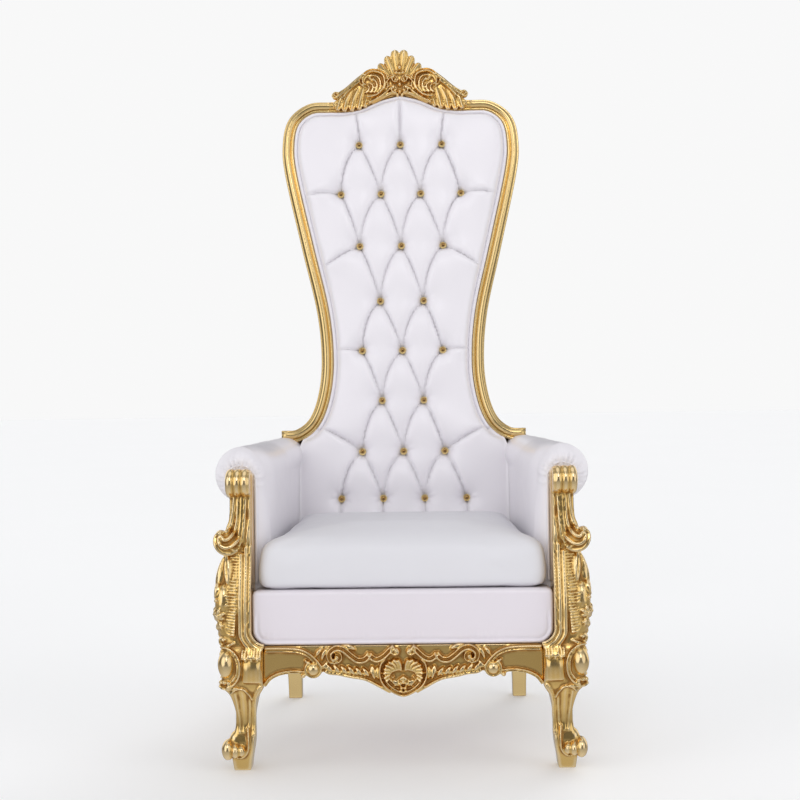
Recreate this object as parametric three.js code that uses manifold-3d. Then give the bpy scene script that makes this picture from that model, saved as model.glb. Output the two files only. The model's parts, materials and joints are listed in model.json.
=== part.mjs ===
// A high-backed throne: a gilded, carved frame around white buttoned upholstery.
// Millimetres. X runs across the seat, Y from the front to the back, Z up from the floor.
import * as THREE from "three";
import { mergeVertices } from "three/addons/utils/BufferGeometryUtils.js";
import Module from "manifold-3d";

const wasm = await Module();
wasm.setup();

// ---- Driving dimensions ----
const GAP = 0.3; // clearance between touching pieces
const TOLERANCE = 0.2; // how far a surface may move when slivers are merged
const RAIL_TOP = 271; // top of the wooden seat frame
const RAIL_BOTTOM = 205; // lower edge of the plain side and back rails
const APRON_FRONT = -360; // face of the carved front rail
const APRON_THICKNESS = 42;
const SIDE_THICKNESS = 42;
const BLOCK_INNER = 297; // inner face of the leg blocks, where the front rail is jointed in
const BLOCK_BACK = -284; // rear face of the leg blocks
const POST_INNER = 320.5; // inner edge of the arm posts
const ARM_FRONT = -300; // front face of the arms
const ARM_TOP = 694;
const ARM_ROLL = 62; // radius of the rolled top of an arm
const ARM_CENTRE = 350; // X of the roll's axis at the front
const ARM_INNER = 288; // inner face of an arm at the front
const TOE_IN = THREE.MathUtils.degToRad(2); // the arms and side rails draw in towards the back
const SEAT_TOP = 388; // top of the upholstered seat base
const CUSHION_TOP = 514;
const SEAT_FRONT = -362; // face of the seat's border, just proud of the apron
const BACK_Y = 150; // where the plane of the back crosses the seat
const BACK_Z = 390;
const RAKE = THREE.MathUtils.degToRad(9.5); // lean of the back
const FRAME_WIDTH = 32; // moulding round the back, seen from the front
const FRAME_DEPTH = 38; // moulding, behind the plane of the back
const FRAME_TOP = 1215; // height of the top rail up the back, to the middle of the moulding
const FRAME_JOINT = 190; // where the crest rail is jointed to the stiles
const ARCH = 1245; // underside of the arch in the crest rail
const PANEL_FOOT = -112; // lower edge of the back's upholstery
const COVER_THICKNESS = 12; // the cover on the rear of the back
const BUTTON_RADIUS = 8;
const KNOB = { radius: 31, length: 53, reeds: 3, x: 322.5, y: -334, z: 617 }; // roll on top of an arm post

// Up the back, the moulding's centre line from the scrolled foot of a stile to the top rail.
const STILE_PATH = [
  [316, 314], [272, 318], [231, 352], [206, 420], [197, 515], [209, 645],
  [250, 822], [295, 1022], [303, 1108], [289, 1174], [244, 1211], [FRAME_JOINT, FRAME_TOP],
];
const STILE_STEPS = 18;
// The same line over the arched crest rail, from one joint to the other.
const CREST_HALF = [[FRAME_JOINT, FRAME_TOP], [150, FRAME_TOP], [110, 1222], [56, 1246]];
const CREST_PATH = [...CREST_HALF, [0, 1260], ...CREST_HALF.map(([x, s]) => [-x, s]).reverse()];
const CREST_STEPS = 16;
const CREST_BACK = 26; // rear of the board behind the crest's carving
const CREST_FACE = 7; // ground of the crest's carving, forward of the plane of the back
// The plume of feathers, one side: each one's root, and its lean from upright in degrees.
const FEATHERS = [
  { root: [9, 62], lean: 5, length: 62, width: 21 },
  { root: [20, 57], lean: 16, length: 53, width: 18 },
  { root: [30, 46], lean: 32, length: 49, width: 17 },
];

// Section of the moulding: across it from inside to outside, then forwards.
const MOULDING = [
  [-16, -FRAME_DEPTH], [-16, 2], [-12, 5], [-8, 3], [0, 11], [7, 2], [12, 4], [16, 0], [16, -FRAME_DEPTH],
];

// Rows of buttons: height up the back, and each button's distance from the middle.
const BUTTON_ROWS = [
  { s: 1101, xs: [-111, 0, 111] },
  { s: 963, xs: [-160, -53, 53, 160] },
  { s: 819, xs: [-110, 0, 110] },
  { s: 669, xs: [-57, 57] },
  { s: 536, xs: [-105, 0, 105] },
  { s: 404, xs: [-54, 54] },
  { s: 271, xs: [-106, 0, 106] },
  { s: 150, xs: [-160, -53, 53, 160] },
];
// Pleats that run from an outer button to the edge of the panel, for the right side.
const EDGE_PLEATS = [
  [[110, 1101], [124, 1215]],
  [[160, 963], [290, 960]],
  [[110, 819], [250, 780]],
  [[106, 536], [200, 536]],
  [[106, 271], [220, 332]],
];
const BUTTON_DEPTH = 2; // height of the cover over the plane of the back, at a button
const PLEAT_HEIGHT = 15;
const PILLOW_HEIGHT = 33;
const TUFT_PITCH = 27; // columns of the buttoned panel's mesh, which pass through the buttons

// ---- Geometry helpers ----
const vec = (x, y, z) => new THREE.Vector3(x, y, z);
const range = (n) => [...Array(n).keys()];
const mix = THREE.MathUtils.lerp;
const smooth = (points) =>
  new THREE.CatmullRomCurve3(points.map(([a, b]) => vec(a, b, 0)), false, "catmullrom", 0.5);

function solid(geometry) {
  const flat = geometry.index ? geometry.toNonIndexed() : geometry;
  const bare = new THREE.BufferGeometry().setAttribute("position", flat.getAttribute("position"));
  const merged = mergeVertices(bare, 1e-3);
  return new wasm.Manifold(
    new wasm.Mesh({
      numProp: 3,
      vertProperties: merged.attributes.position.array,
      triVerts: new Uint32Array(merged.index.array),
    }),
  );
}

function geometryOf(manifold) {
  const mesh = manifold.getMesh();
  const geometry = new THREE.BufferGeometry();
  geometry.setAttribute("position", new THREE.BufferAttribute(new Float32Array(mesh.vertProperties), 3));
  geometry.setIndex(new THREE.BufferAttribute(new Uint32Array(mesh.triVerts), 1));
  geometry.computeVertexNormals();
  return geometry;
}

const join = (solids) => solids.reduce((whole, next) => whole.add(next));

// The main body of a solid, without the pockets and crumbs that joining and cutting can leave.
function mainBody(made) {
  const [largest] = made.decompose().sort((a, b) => b.volume() - a.volume());
  return largest;
}

// A closed surface from points and triangles, turned so that its faces point out.
function surface(points, faces) {
  const volume = faces.reduce((sum, [a, b, c]) => sum + points[a].dot(points[b].clone().cross(points[c])), 0);
  const turned = volume < 0 ? faces.map(([a, b, c]) => [a, c, b]) : faces;
  const geometry = new THREE.BufferGeometry().setFromPoints(points);
  geometry.setIndex(turned.flat());
  return geometry;
}

// A skin over rings of points, all with the same count, closed by a fan at each end.
function loft(rings) {
  const count = rings[0].length;
  const points = rings.flat();
  const faces = [];
  for (let ring = 0; ring + 1 < rings.length; ring++)
    for (let k = 0; k < count; k++) {
      const a = ring * count + k;
      const b = ring * count + ((k + 1) % count);
      faces.push([a, b, b + count], [a, b + count, a + count]);
    }
  const middle = (ring) => ring.reduce((sum, p) => sum.add(p), vec(0, 0, 0)).divideScalar(count);
  const first = points.push(middle(rings[0])) - 1;
  const last = points.push(middle(rings.at(-1))) - 1;
  const lastRing = (rings.length - 1) * count;
  for (let k = 0; k < count; k++) {
    const next = (k + 1) % count;
    faces.push([first, next, k], [last, lastRing + k, lastRing + next]);
  }
  return solid(surface(points, faces));
}

function box([x0, x1], [y0, y1], [z0, z1]) {
  const geometry = new THREE.BoxGeometry(x1 - x0, y1 - y0, z1 - z0);
  return solid(geometry.translate((x0 + x1) / 2, (y0 + y1) / 2, (z0 + z1) / 2));
}

// A flat plate: an outline in X and Z, from front to back in Y.
function plate(outline, front, back, bevel = {}) {
  const shape = new THREE.Shape(outline.map(([x, z]) => new THREE.Vector2(x, z)));
  const { size = 0, segments = 1 } = bevel;
  const geometry = new THREE.ExtrudeGeometry(shape, {
    depth: back - front - 2 * size,
    bevelEnabled: size > 0,
    bevelSize: size,
    bevelThickness: size,
    bevelOffset: -size,
    bevelSegments: segments,
    curveSegments: 1,
  });
  return solid(geometry.rotateX(Math.PI / 2).translate(0, back - size, 0));
}

function ellipsoid([x, y, z], [rx, ry, rz], around = 6, down = 4) {
  const geometry = new THREE.SphereGeometry(1, around, down);
  return solid(geometry.rotateX(Math.PI / 2).scale(rx, ry, rz).translate(x, y, z));
}

// How a carved ridge swells along its length, from 0 to 1.
const even = () => 1;
const spindle = (t) => Math.sin(Math.PI * (0.12 + 0.76 * t));
const spoon = (t) => 0.5 + 0.7 * t - Math.max(0, t - 0.75) * 2.6;
const tongue = (t) => 0.55 + 0.45 * Math.sin(Math.PI * t);
const tail = (t) => 1 - 0.55 * t;

// Sections of a ridge: how far across and how far out of the face, as parts of its width and height.
const BAND = [[-1, -0.3], [-0.6, 1], [0.6, 1], [1, -0.3]];
const KEEL = [[-1, -0.3], [0, 1], [1, -0.3]];

// A carved ridge laid along a path on a face of the object.
// face(u, v) gives the point and the outward normal there.
function ridge(face, path, { width, height, swell = even, steps = 5, section = BAND }) {
  const curve = smooth(path);
  const stations = range(steps + 1).map((i) => {
    const at = curve.getPoint(i / steps);
    return face(at.x, at.y);
  });
  const rings = stations.map(({ point, normal }, i) => {
    const before = stations[Math.max(i - 1, 0)].point;
    const after = stations[Math.min(i + 1, steps)].point;
    const across = normal.clone().cross(after.clone().sub(before)).normalize();
    const size = swell(i / steps);
    return section.map(([side, out]) => {
      const moved = point.clone().addScaledVector(across, (side * size * width) / 2);
      return moved.addScaledVector(normal, out * size * height);
    });
  });
  return loft(rings);
}

// A leaf with a raised spine, from its root towards an angle in degrees, curling by a bend.
function leaf(face, [u, v], angle, length, width, { bend = 0, height = 11, swell = spindle } = {}) {
  const step = (turn, reach) => {
    const a = THREE.MathUtils.degToRad(angle + turn);
    return [u + reach * Math.cos(a), v + reach * Math.sin(a)];
  };
  const path = [[u, v], step(-bend / 3, length * 0.55), step(bend / 3, length)];
  return ridge(face, path, { width, height, swell, steps: length > 75 ? 3 : 2, section: KEEL });
}

// Points of a spiral that winds in to its eye, starting at an angle in degrees.
function spiral([u, v], radius, start, turn, count = 7) {
  return range(count).map((i) => {
    const a = THREE.MathUtils.degToRad(start + (turn * i) / (count - 1));
    const r = radius * (1 - 0.62 * (i / (count - 1)));
    return [u + r * Math.cos(a), v + r * Math.sin(a)];
  });
}

function bead(face, [u, v], radius, flat = 1) {
  const { point, normal } = face(u, v);
  const ball = new THREE.SphereGeometry(radius, 5, 3).rotateX(Math.PI / 2).scale(1, 1, flat);
  const turn = new THREE.Quaternion().setFromUnitVectors(vec(0, 0, 1), normal);
  return solid(ball.applyQuaternion(turn).translate(point.x, point.y, point.z));
}

// ---- The back ----
const flatFace = (side, y) => (u, v) => ({ point: vec(side * u, y, v), normal: vec(0, -1, 0) });
const mirrored = (half) => [...half, ...half.filter(([x]) => x > 0).reverse().map(([x, z]) => [-x, z])];

// A path's points, moved sideways: to the right of the way it runs.
function offset(path, steps, distance) {
  const curve = smooth(path);
  return range(steps + 1).map((i) => {
    const at = curve.getPoint(i / steps);
    const along = curve.getTangent(i / steps);
    return [at.x + along.y * distance, at.y - along.x * distance];
  });
}

// The moulding swept along a path in the plane of the back.
function moulding(path, side, steps) {
  const rings = range(steps + 1).map(() => []);
  for (const [across, forward] of MOULDING)
    offset(path, steps, across).forEach(([x, s], i) => rings[i].push(vec(side * x, -forward, s)));
  return loft(rings);
}

// On the crest, v counts up from the underside of the arch.
const CREST_BEADS = [[12, 40, 7], [13, 9, 6], [181, 2, 8]];
const CREST_SILHOUETTE = [
  [178, -30], [178, -16], [150, 22], [108, 46], [90, 62], [60, 64], [52, 82], [32, 102], [8, 118], [0, 108],
];

// One side's carving on the crest.
function crestCarving(side) {
  const face = (u, v) => flatFace(side, -CREST_FACE)(u, ARCH + v);
  const lobes = range(4).map((i) =>
    leaf(face, [94 + 9 * i, 26], -72 + 10 * i, [58, 68, 76, 66][i], 17, { bend: 8, swell: tongue }));
  const upperScroll = [...spiral([12, 40], 8, 60, 250, 4).reverse(), [28, 46], [43, 24]];
  const lowerScroll = [...spiral([13, 9], 7, 90, 240, 4).reverse(), [34, 17], [56, 2], [86, -8]];
  const bigScroll = [[92, -12], [66, -4], ...spiral([80, 38], 30, 205, -270, 7)];
  return [
    ...FEATHERS.map(({ root, lean, length, width }) =>
      leaf(face, root, 90 - lean, length, width, { height: 13, swell: spoon })),
    ...lobes,
    leaf(face, [72, 54], -58, 32, 14),
    leaf(face, [92, 67], -36, 112, 17, { bend: 14 }),
    ridge(face, upperScroll, { width: 9, height: 12, steps: 4, section: KEEL }),
    ridge(face, lowerScroll, { width: 10, height: 13, steps: 5, section: KEEL }),
    ridge(face, bigScroll, { width: 14, height: 15, steps: 7, swell: tail, section: KEEL }),
    ...CREST_BEADS.map(([u, v, radius]) => bead(face, [u, v], radius, 1.4)),
  ];
}

function crestRail() {
  const inner = offset(CREST_PATH, CREST_STEPS, -FRAME_WIDTH / 2).slice(2, -2);
  const outer = offset(CREST_PATH, CREST_STEPS, FRAME_WIDTH / 2).slice(2, -2);
  const rail = plate([...inner.reverse(), ...outer], -CREST_FACE, FRAME_DEPTH);
  const upper = CREST_SILHOUETTE.map(([u, v]) => [u, ARCH + v]);
  const under = [[-53, ARCH + 4], [0, ARCH + 10], [53, ARCH + 4]];
  const board = plate([...mirrored(upper), ...under], -CREST_FACE, CREST_BACK);
  const end = (side) => moulding(CREST_HALF.slice(0, 3), side, 3);
  const centre = [[0, 79, 8], [0, 64, 6], [0, 27, 7]].map(([u, v, radius]) =>
    bead(flatFace(1, -CREST_FACE), [u, ARCH + v], radius, 1.5));
  const whole = join([rail, board, end(1), end(-1), ...crestCarving(1), ...crestCarving(-1), ...centre]);
  const reach = FRAME_JOINT - GAP / 2;
  return whole.intersect(box([-reach, reach], [-100, 100], [1000, 1500]));
}

function stile(side) {
  const joint = (FRAME_JOINT + GAP / 2) * side;
  const beyond = box(side > 0 ? [0, joint] : [joint, 0], [-100, 100], [1100, 1300]);
  return moulding(STILE_PATH, side, STILE_STEPS).subtract(beyond);
}

// Where a pleat of the buttoned panel runs: between neighbouring buttons, and out to the edges.
function pleats() {
  const found = [];
  BUTTON_ROWS.slice(0, -1).forEach((row, i) => {
    const below = BUTTON_ROWS[i + 1];
    for (const x of row.xs)
      for (const next of below.xs) if (Math.abs(next - x) < 80) found.push([[x, row.s], [next, below.s]]);
  });
  for (const [[x0, s0], [x1, s1]] of EDGE_PLEATS)
    found.push([[x0, s0], [x1, s1]], [[-x0, s0], [-x1, s1]]);
  found.push([[0, BUTTON_ROWS[0].s], [0, ARCH]]);
  for (const x of BUTTON_ROWS.at(-1).xs) found.push([[x, BUTTON_ROWS.at(-1).s], [x, 0]]);
  return found;
}

function distanceTo([[x0, s0], [x1, s1]], x, s) {
  const length2 = (x1 - x0) ** 2 + (s1 - s0) ** 2;
  const t = THREE.MathUtils.clamp(((x - x0) * (x1 - x0) + (s - s0) * (s1 - s0)) / length2, 0, 1);
  return Math.hypot(x - mix(x0, x1, t), s - mix(s0, s1, t));
}

const PLEATS = pleats();

// Height of the buttoned cover over the plane of the back.
function coverHeight(x, s) {
  const toPleat = Math.min(...PLEATS.map((pleat) => distanceTo(pleat, x, s)));
  const toButton = Math.min(
    ...BUTTON_ROWS.flatMap((row) => row.xs.map((bx) => Math.hypot(x - bx, s - row.s))),
  );
  const pillow = mix(PLEAT_HEIGHT, PILLOW_HEIGHT, 1 - Math.exp(-toPleat / 16));
  return mix(BUTTON_DEPTH, pillow, 1 - Math.exp(-toButton / 12));
}

// An outline that rises from its foot, follows the frame at a distance from the moulding's middle,
// and comes down the other side.
function panelOutline(foot, distance) {
  const [reach, top] = foot.at(-1);
  const above = ([x, s]) => s > 700 || (s > top && x < reach - 2);
  const half = [...foot, ...offset(STILE_PATH, STILE_STEPS, distance).filter(above)];
  const arch = offset(CREST_PATH, CREST_STEPS, distance).slice(1, -1);
  return [...half, ...arch, ...mirrored(half).slice(half.length)];
}

// The mesh of the buttoned cover: rows of points whose columns fan out to meet the buttons.
function coverRows() {
  const buttons = BUTTON_ROWS.map(({ s, xs }) => {
    const last = xs.at(-1);
    return { s, pitch: last / Math.round(last / TUFT_PITCH) };
  }).reverse();
  const rows = [{ s: PANEL_FOOT - 15, pitch: TUFT_PITCH }, { s: 40, pitch: TUFT_PITCH }];
  buttons.forEach((row, i) => {
    if (i) rows.push({ s: (row.s + buttons[i - 1].s) / 2, pitch: (row.pitch + buttons[i - 1].pitch) / 2 });
    rows.push(row);
  });
  return [...rows, { s: 1160, pitch: 29 }, { s: 1215, pitch: 30 }, { s: 1262, pitch: 30 }];
}

function insideBack() {
  const rows = coverRows();
  const wide = 23;
  const middle = (wide - 1) / 2;
  const layer = (depth) =>
    rows.flatMap(({ s, pitch }) =>
      range(wide).map((k) => {
        const x = (k - middle) * pitch;
        return vec(x, depth(x, s), s);
      }));
  const points = [...layer((x, s) => -coverHeight(x, s)), ...layer(() => FRAME_DEPTH - GAP)];
  const behind = rows.length * wide;
  const faces = [];
  for (let j = 0; j + 1 < rows.length; j++)
    for (let i = 0; i + 1 < wide; i++) {
      const a = j * wide + i;
      const [b, c, d] = [a + 1, a + wide, a + wide + 1];
      faces.push(...((i + j) % 2 ? [[a, b, d], [a, d, c]] : [[a, b, c], [b, d, c]]));
      for (const [p, q, r] of [[a, b, d], [a, d, c]]) faces.push([p + behind, r + behind, q + behind]);
    }
  const rim = [
    ...range(wide),
    ...range(rows.length - 1).map((j) => (j + 2) * wide - 1),
    ...range(wide - 1).map((i) => behind - 2 - i),
    ...range(rows.length - 2).map((j) => behind - (j + 2) * wide),
  ];
  rim.forEach((a, i) => {
    const b = rim[(i + 1) % rim.length];
    faces.push([a, a + behind, b], [b, a + behind, b + behind]);
  });
  const foot = [[264, PANEL_FOOT], [264, 285]];
  const outline = panelOutline(foot, -FRAME_WIDTH / 2 - GAP);
  return solid(surface(points, faces)).intersect(plate(outline, -80, FRAME_DEPTH + 5));
}

function outsideBack() {
  const outline = panelOutline([[333, PANEL_FOOT], [337, 250], [326, 312]], FRAME_WIDTH / 2 - 6);
  return plate(outline, FRAME_DEPTH + GAP, FRAME_DEPTH + GAP + COVER_THICKNESS);
}

// A domed button on a tapered neck that sits in its hollow.
function button() {
  const profile = [[0, 0], [BUTTON_RADIUS, 10], [BUTTON_RADIUS * 0.7, 14], [0, 15]];
  const geometry = new THREE.LatheGeometry(profile.map(([r, y]) => new THREE.Vector2(r, y)), 6);
  return solid(geometry.rotateX(Math.PI));
}

// ---- The seat and arms ----
// The arms and side rails draw in towards the back.
const drawIn = (x, y) => x - Math.tan(TOE_IN) * (y - ARM_FRONT);
const drawnIn = (made, side) => made.warp((at) => {
  at[0] = side * drawIn(side * at[0], at[1]);
});

// An arm: a panel under a rolled top, swelling over its outer side.
function arm(side, grow = 0) {
  const roll = ARM_ROLL + grow;
  const arc = range(14).map((i) => {
    const angle = Math.PI * mix(1, -0.48, i / 13);
    return [ARM_CENTRE + roll * Math.cos(angle), ARM_TOP - ARM_ROLL + roll * Math.sin(angle)];
  });
  const outer = ARM_CENTRE + 2 + grow;
  const bottom = RAIL_TOP + 1 - grow;
  const outline = [[ARM_INNER - grow, bottom], ...arc, [outer, 545], [outer, bottom]];
  const bevel = grow ? {} : { size: 10, segments: 2 };
  return drawnIn(plate(outline.map(([x, z]) => [side * x, z]), ARM_FRONT - grow, 320, bevel), side);
}

// The seat's lower part drops between the rails; its upper part widens in front of the arms.
function seatBase() {
  const round = 34;
  const [edge, bottom] = [POST_INNER - GAP, RAIL_TOP + GAP];
  const corner = range(5).map((i) => {
    const angle = (Math.PI / 2) * (i / 4);
    return [edge - round + round * Math.sin(angle), bottom + round - round * Math.cos(angle)];
  });
  const outline = mirrored([...corner, [edge, SEAT_TOP - 8], [edge - 8, SEAT_TOP]]);
  const border = plate(outline, SEAT_FRONT, ARM_FRONT - 1, { size: 6, segments: 2 });
  const front = ARM_FRONT - 5;
  const slice = (z, width, rear) =>
    [[width, front], [width, rear]].flatMap(([x, y]) => [vec(-drawIn(x, y), y, z), vec(drawIn(x, y), y, z)]);
  const ring = (z, width, rear) => {
    const [a, b, c, d] = slice(z, width, rear);
    return [a, b, d, c];
  };
  const deck = loft([ring(RAIL_TOP - 10, ARM_INNER - 2, 96), ring(SEAT_TOP, ARM_INNER - 2, 110)]);
  const well = loft([ring(226, 306, 120), ring(RAIL_TOP - 1, 306, 96)]);
  const behindApron = box([-400, 400], [-500, APRON_FRONT + APRON_THICKNESS + GAP], [200, RAIL_TOP + GAP]);
  return join([deck, well]).subtract(behindApron).add(border);
}

// The cushion is wider in front of the arms, and crowned.
function cushion() {
  const outline = (inset) => {
    const corner = (x, y, r, start) =>
      range(4).map((i) => {
        const angle = start + (Math.PI / 2) * (i / 3);
        return [x + (r - inset) * Math.cos(angle), y + (r - inset) * Math.sin(angle)];
      });
    const rear = corner(266 - 24, 118 - 24, 24, 0);
    const front = corner(311 - 30, SEAT_FRONT + 4 + 30, 30, -Math.PI / 2);
    const half = [...front, [306 - inset, ARM_FRONT - 14], [283 - inset, ARM_FRONT - 2], ...rear];
    return [...half, ...half.map(([x, y]) => [-x, y]).reverse()];
  };
  const base = SEAT_TOP + GAP;
  const ring = (inset, z, shrink = 1) =>
    outline(inset).map(([x, y]) => vec(x * shrink, -120 + (y + 120) * shrink, z));
  return loft([
    ring(10, base), ring(0, base + 14), ring(0, base + 62), ring(8, base + 84),
    ring(8, base + 104, 0.84), ring(8, base + 118, 0.6), ring(8, CUSHION_TOP, 0.3),
  ]);
}

// ---- The wooden seat frame ----
const APRON_EDGE = [
  [BLOCK_INNER - GAP, 189], [276, 207], [248, 215], [205, 213], [150, 209],
  [105, 202], [70, 196], [42, 181], [16, 166], [0, 163],
];

function apronCarving(side) {
  const face = flatFace(side, APRON_FRONT);
  const shell = range(5).map((i) => {
    const angle = mix(74, -60, i / 4);
    const a = THREE.MathUtils.degToRad(angle);
    const root = [3 + 16 * Math.cos(a), 211 + 14 * Math.sin(a)];
    return leaf(face, root, angle, 31, 19, { height: 13, bend: -10 });
  });
  const lobes = range(2).map((i) => leaf(face, [150 + 12 * i, 232], -70 + 30 * i, 22, 11));
  const volute = spiral([140, 251], 15, 80, 260, 5);
  const swags = [
    [14, 256], [22, 267], [34, 256], [47, 241], [62, 241], [72, 253], [86, 240], [104, 241], [122, 255],
  ];
  const band = [[295, 265], [240, 261], [206, 252], [184, 238]];
  const curl = spiral([192, 222], 17, 140, 250, 5);
  const bands = [
    { path: [...swags, ...volute], width: 10, steps: 11 },
    { path: [...band, ...curl], width: 10, steps: 7 },
    { path: [[2, 168], [24, 174], [42, 188], [50, 206], [44, 226]], width: 8, steps: 4 },
    { path: [[46, 188], [80, 202], [130, 211], [172, 216]], width: 8, steps: 2 },
    { path: [[208, 210], [226, 217], [256, 216], [295, 194]], width: 8, steps: 4 },
  ];
  const beads = [[16, 257, 8], [140, 251, 9], [192, 223, 13], [12, 190, 9]];
  return [
    ...shell, ...lobes,
    ...bands.map((made) => ridge(face, made.path, { height: 11, section: KEEL, ...made })),
    ...beads.map(([u, v, radius]) => bead(face, [u, v], radius, 1.2)),
  ];
}

function frontRail() {
  const reach = BLOCK_INNER - GAP;
  const curve = smooth(APRON_EDGE);
  const half = range(11).map((i) => curve.getPoint(i / 10)).map(({ x, y }) => [x, y]);
  const other = half.slice(0, -1).reverse().map(([x, z]) => [-x, z]);
  const outline = [...half, ...other, [-reach, RAIL_TOP], [reach, RAIL_TOP]];
  const board = plate(outline, APRON_FRONT, APRON_FRONT + APRON_THICKNESS);
  const carved = join([board, ...apronCarving(1), ...apronCarving(-1)]);
  return carved.intersect(box([-reach, reach], [-500, 0], [100, RAIL_TOP]));
}

// Front leg and arm post in one piece. Each row: height, inner X, outer X, front Y, back Y.
const ARM_BACK = ARM_FRONT - GAP;
const POST_SECTIONS = [
  [0, 327, 362, -334, -297], [60, 320, 362, -354, -303], [94, 319, 358, -348, -308],
  [130, 317, 360, -352, -305], [156, 313, 368, -364, -297],
  [182, BLOCK_INNER, 386, -379, BLOCK_BACK], [225, BLOCK_INNER, 388, -386, BLOCK_BACK],
  [RAIL_TOP - 1, BLOCK_INNER, 387, -380, BLOCK_BACK], [RAIL_TOP, POST_INNER, 388, -378, ARM_BACK],
  [300, POST_INNER, 396, -372, ARM_BACK], [350, POST_INNER, 403, -372, ARM_BACK],
  [400, POST_INNER, 396, -365, ARM_BACK], [455, POST_INNER, 381, -350, ARM_BACK],
  [500, POST_INNER, 380, -346, ARM_BACK], [550, POST_INNER, 366, -344, ARM_BACK],
  [632, POST_INNER, 364, -336, ARM_BACK],
];

// The lobes of a foot: X, half the width and half the height of each.
const TOES = [[349, 10, 16], [362, 11, 20], [373, 10, 25]];

// The section at a height, interpolated: [inner X, outer X, front Y, back Y].
function postSection(z) {
  const above = POST_SECTIONS.findIndex(([height]) => height >= z);
  if (above < 1) return POST_SECTIONS.at(above).slice(1);
  const [low, high] = [POST_SECTIONS[above - 1], POST_SECTIONS[above]];
  return low.slice(1).map((value, i) => mix(value, high[i + 1], (z - low[0]) / (high[0] - low[0])));
}

function postCore(side) {
  const rings = POST_SECTIONS.map(([z, inner, outer, front, back]) => {
    const round = z < 160 ? 6 : 18;
    return [
      [inner, back], [inner, front + 4], [inner + 4, front], [outer - round, front],
      [outer - round * 0.3, front + round * 0.3], [outer, front + round], [outer, back],
    ].map(([x, y]) => vec(side * x, y, z));
  });
  return loft(rings);
}

// The reeded roll at the top of a post, over the end of the arm.
function knob(side) {
  const reed = KNOB.length / KNOB.reeds;
  const profile = [[0, 0], [KNOB.radius - 5, 0]];
  for (let i = 0; i < KNOB.reeds; i++)
    profile.push([KNOB.radius, reed * (i + 0.5)], [KNOB.radius - 5, reed * (i + 1)]);
  profile.push([0, KNOB.length]);
  const geometry = new THREE.LatheGeometry(profile.map(([r, y]) => new THREE.Vector2(r, y)), 8);
  geometry.rotateZ(side > 0 ? -Math.PI / 2 : Math.PI / 2);
  return solid(geometry.translate(side * KNOB.x, KNOB.y, KNOB.z));
}

function postCarving(side) {
  const front = (u, v) => ({ point: vec(side * u, postSection(v)[2], v), normal: vec(0, -1, 0) });
  const outer = (u, v) => ({ point: vec(side * postSection(v)[1], u, v), normal: vec(side, 0, 0) });
  // Round the outer front corner: u is the angle from the front, in degrees.
  const corner = (u, v) => {
    const [, edge, face] = postSection(v);
    const a = THREE.MathUtils.degToRad(u);
    const normal = vec(side * Math.sin(a), -Math.cos(a), 0);
    return { point: vec(side * (edge - 20), face + 20, v).addScaledVector(normal, 18), normal };
  };
  const bands = [
    { path: [[325, 590], [325, 482]], width: 8, height: 6, steps: 1 },
    { path: [[331, 482], [335, 400], [335, 318], [303, 262]], width: 19, height: 9, steps: 5 },
    { path: [[317, 180], [323, 140], [325, 100]], width: 7, height: 5, steps: 2 },
    { path: [[370, 271], [352, 258], [345, 234], [354, 204]], width: 8, height: 10, steps: 4 },
    { path: [[320, 176], [338, 190], [358, 178]], width: 7, height: 6, steps: 3 },
  ];
  const flute = { width: 12, height: 8, steps: 2, section: KEEL };
  const flutes = range(3).map((i) => ({
    path: [[336 + 9 * i, 592], [337 + 11 * i, 535], [354 + 14 * i, 490 + 5 * i]], ...flute,
  }));
  const rib = { width: 13, height: 7, steps: 1, section: KEEL };
  const comb = range(4).map((i) => ({ path: [[352, 302 + 42 * i], [373, 305 + 42 * i]], ...rib }));
  const leaves = range(3).map((i) =>
    leaf(corner, [25 + 38 * i, 464 - 4 * i], -68, 100 - 14 * i, 24, { height: 10 }));
  const lowerLeaf = leaf(corner, [80, 284], 70, 70, 20, { height: 8 });
  const sideLeaves = [leaf(outer, [-316, 566], -100, 66, 15), leaf(outer, [-312, 294], 105, 60, 16)];
  const rounded = [
    ellipsoid([side * 370, -347, 491], [28, 25, 26]),
    ellipsoid([side * 384, -352, 356], [20, 24, 38]),
    ellipsoid([side * 372, -370, 238], [20, 24, 30]),
    ellipsoid([side * 374, -370, 200], [18, 19, 9], 6, 3),
    ...TOES.map(([x, across, up]) => ellipsoid([side * x, -353, 51], [across, 26, up], 5)),
  ];
  return [
    ...[...bands, ...flutes, ...comb].map((made) => ridge(front, made.path, made)),
    ...leaves, lowerLeaf, ...sideLeaves, ...rounded,
  ];
}

function frontPost(side, seat) {
  const whole = join([postCore(side), knob(side), ...postCarving(side)]);
  const behind = box([-600, 600], [ARM_FRONT - GAP, 0], [RAIL_TOP, 900]);
  const apron = box([-BLOCK_INNER, BLOCK_INNER], [-600, 0], [0, RAIL_TOP]);
  return whole.subtract(behind).subtract(apron).subtract(seat.translate([side * GAP, 0, 0]));
}

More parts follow.
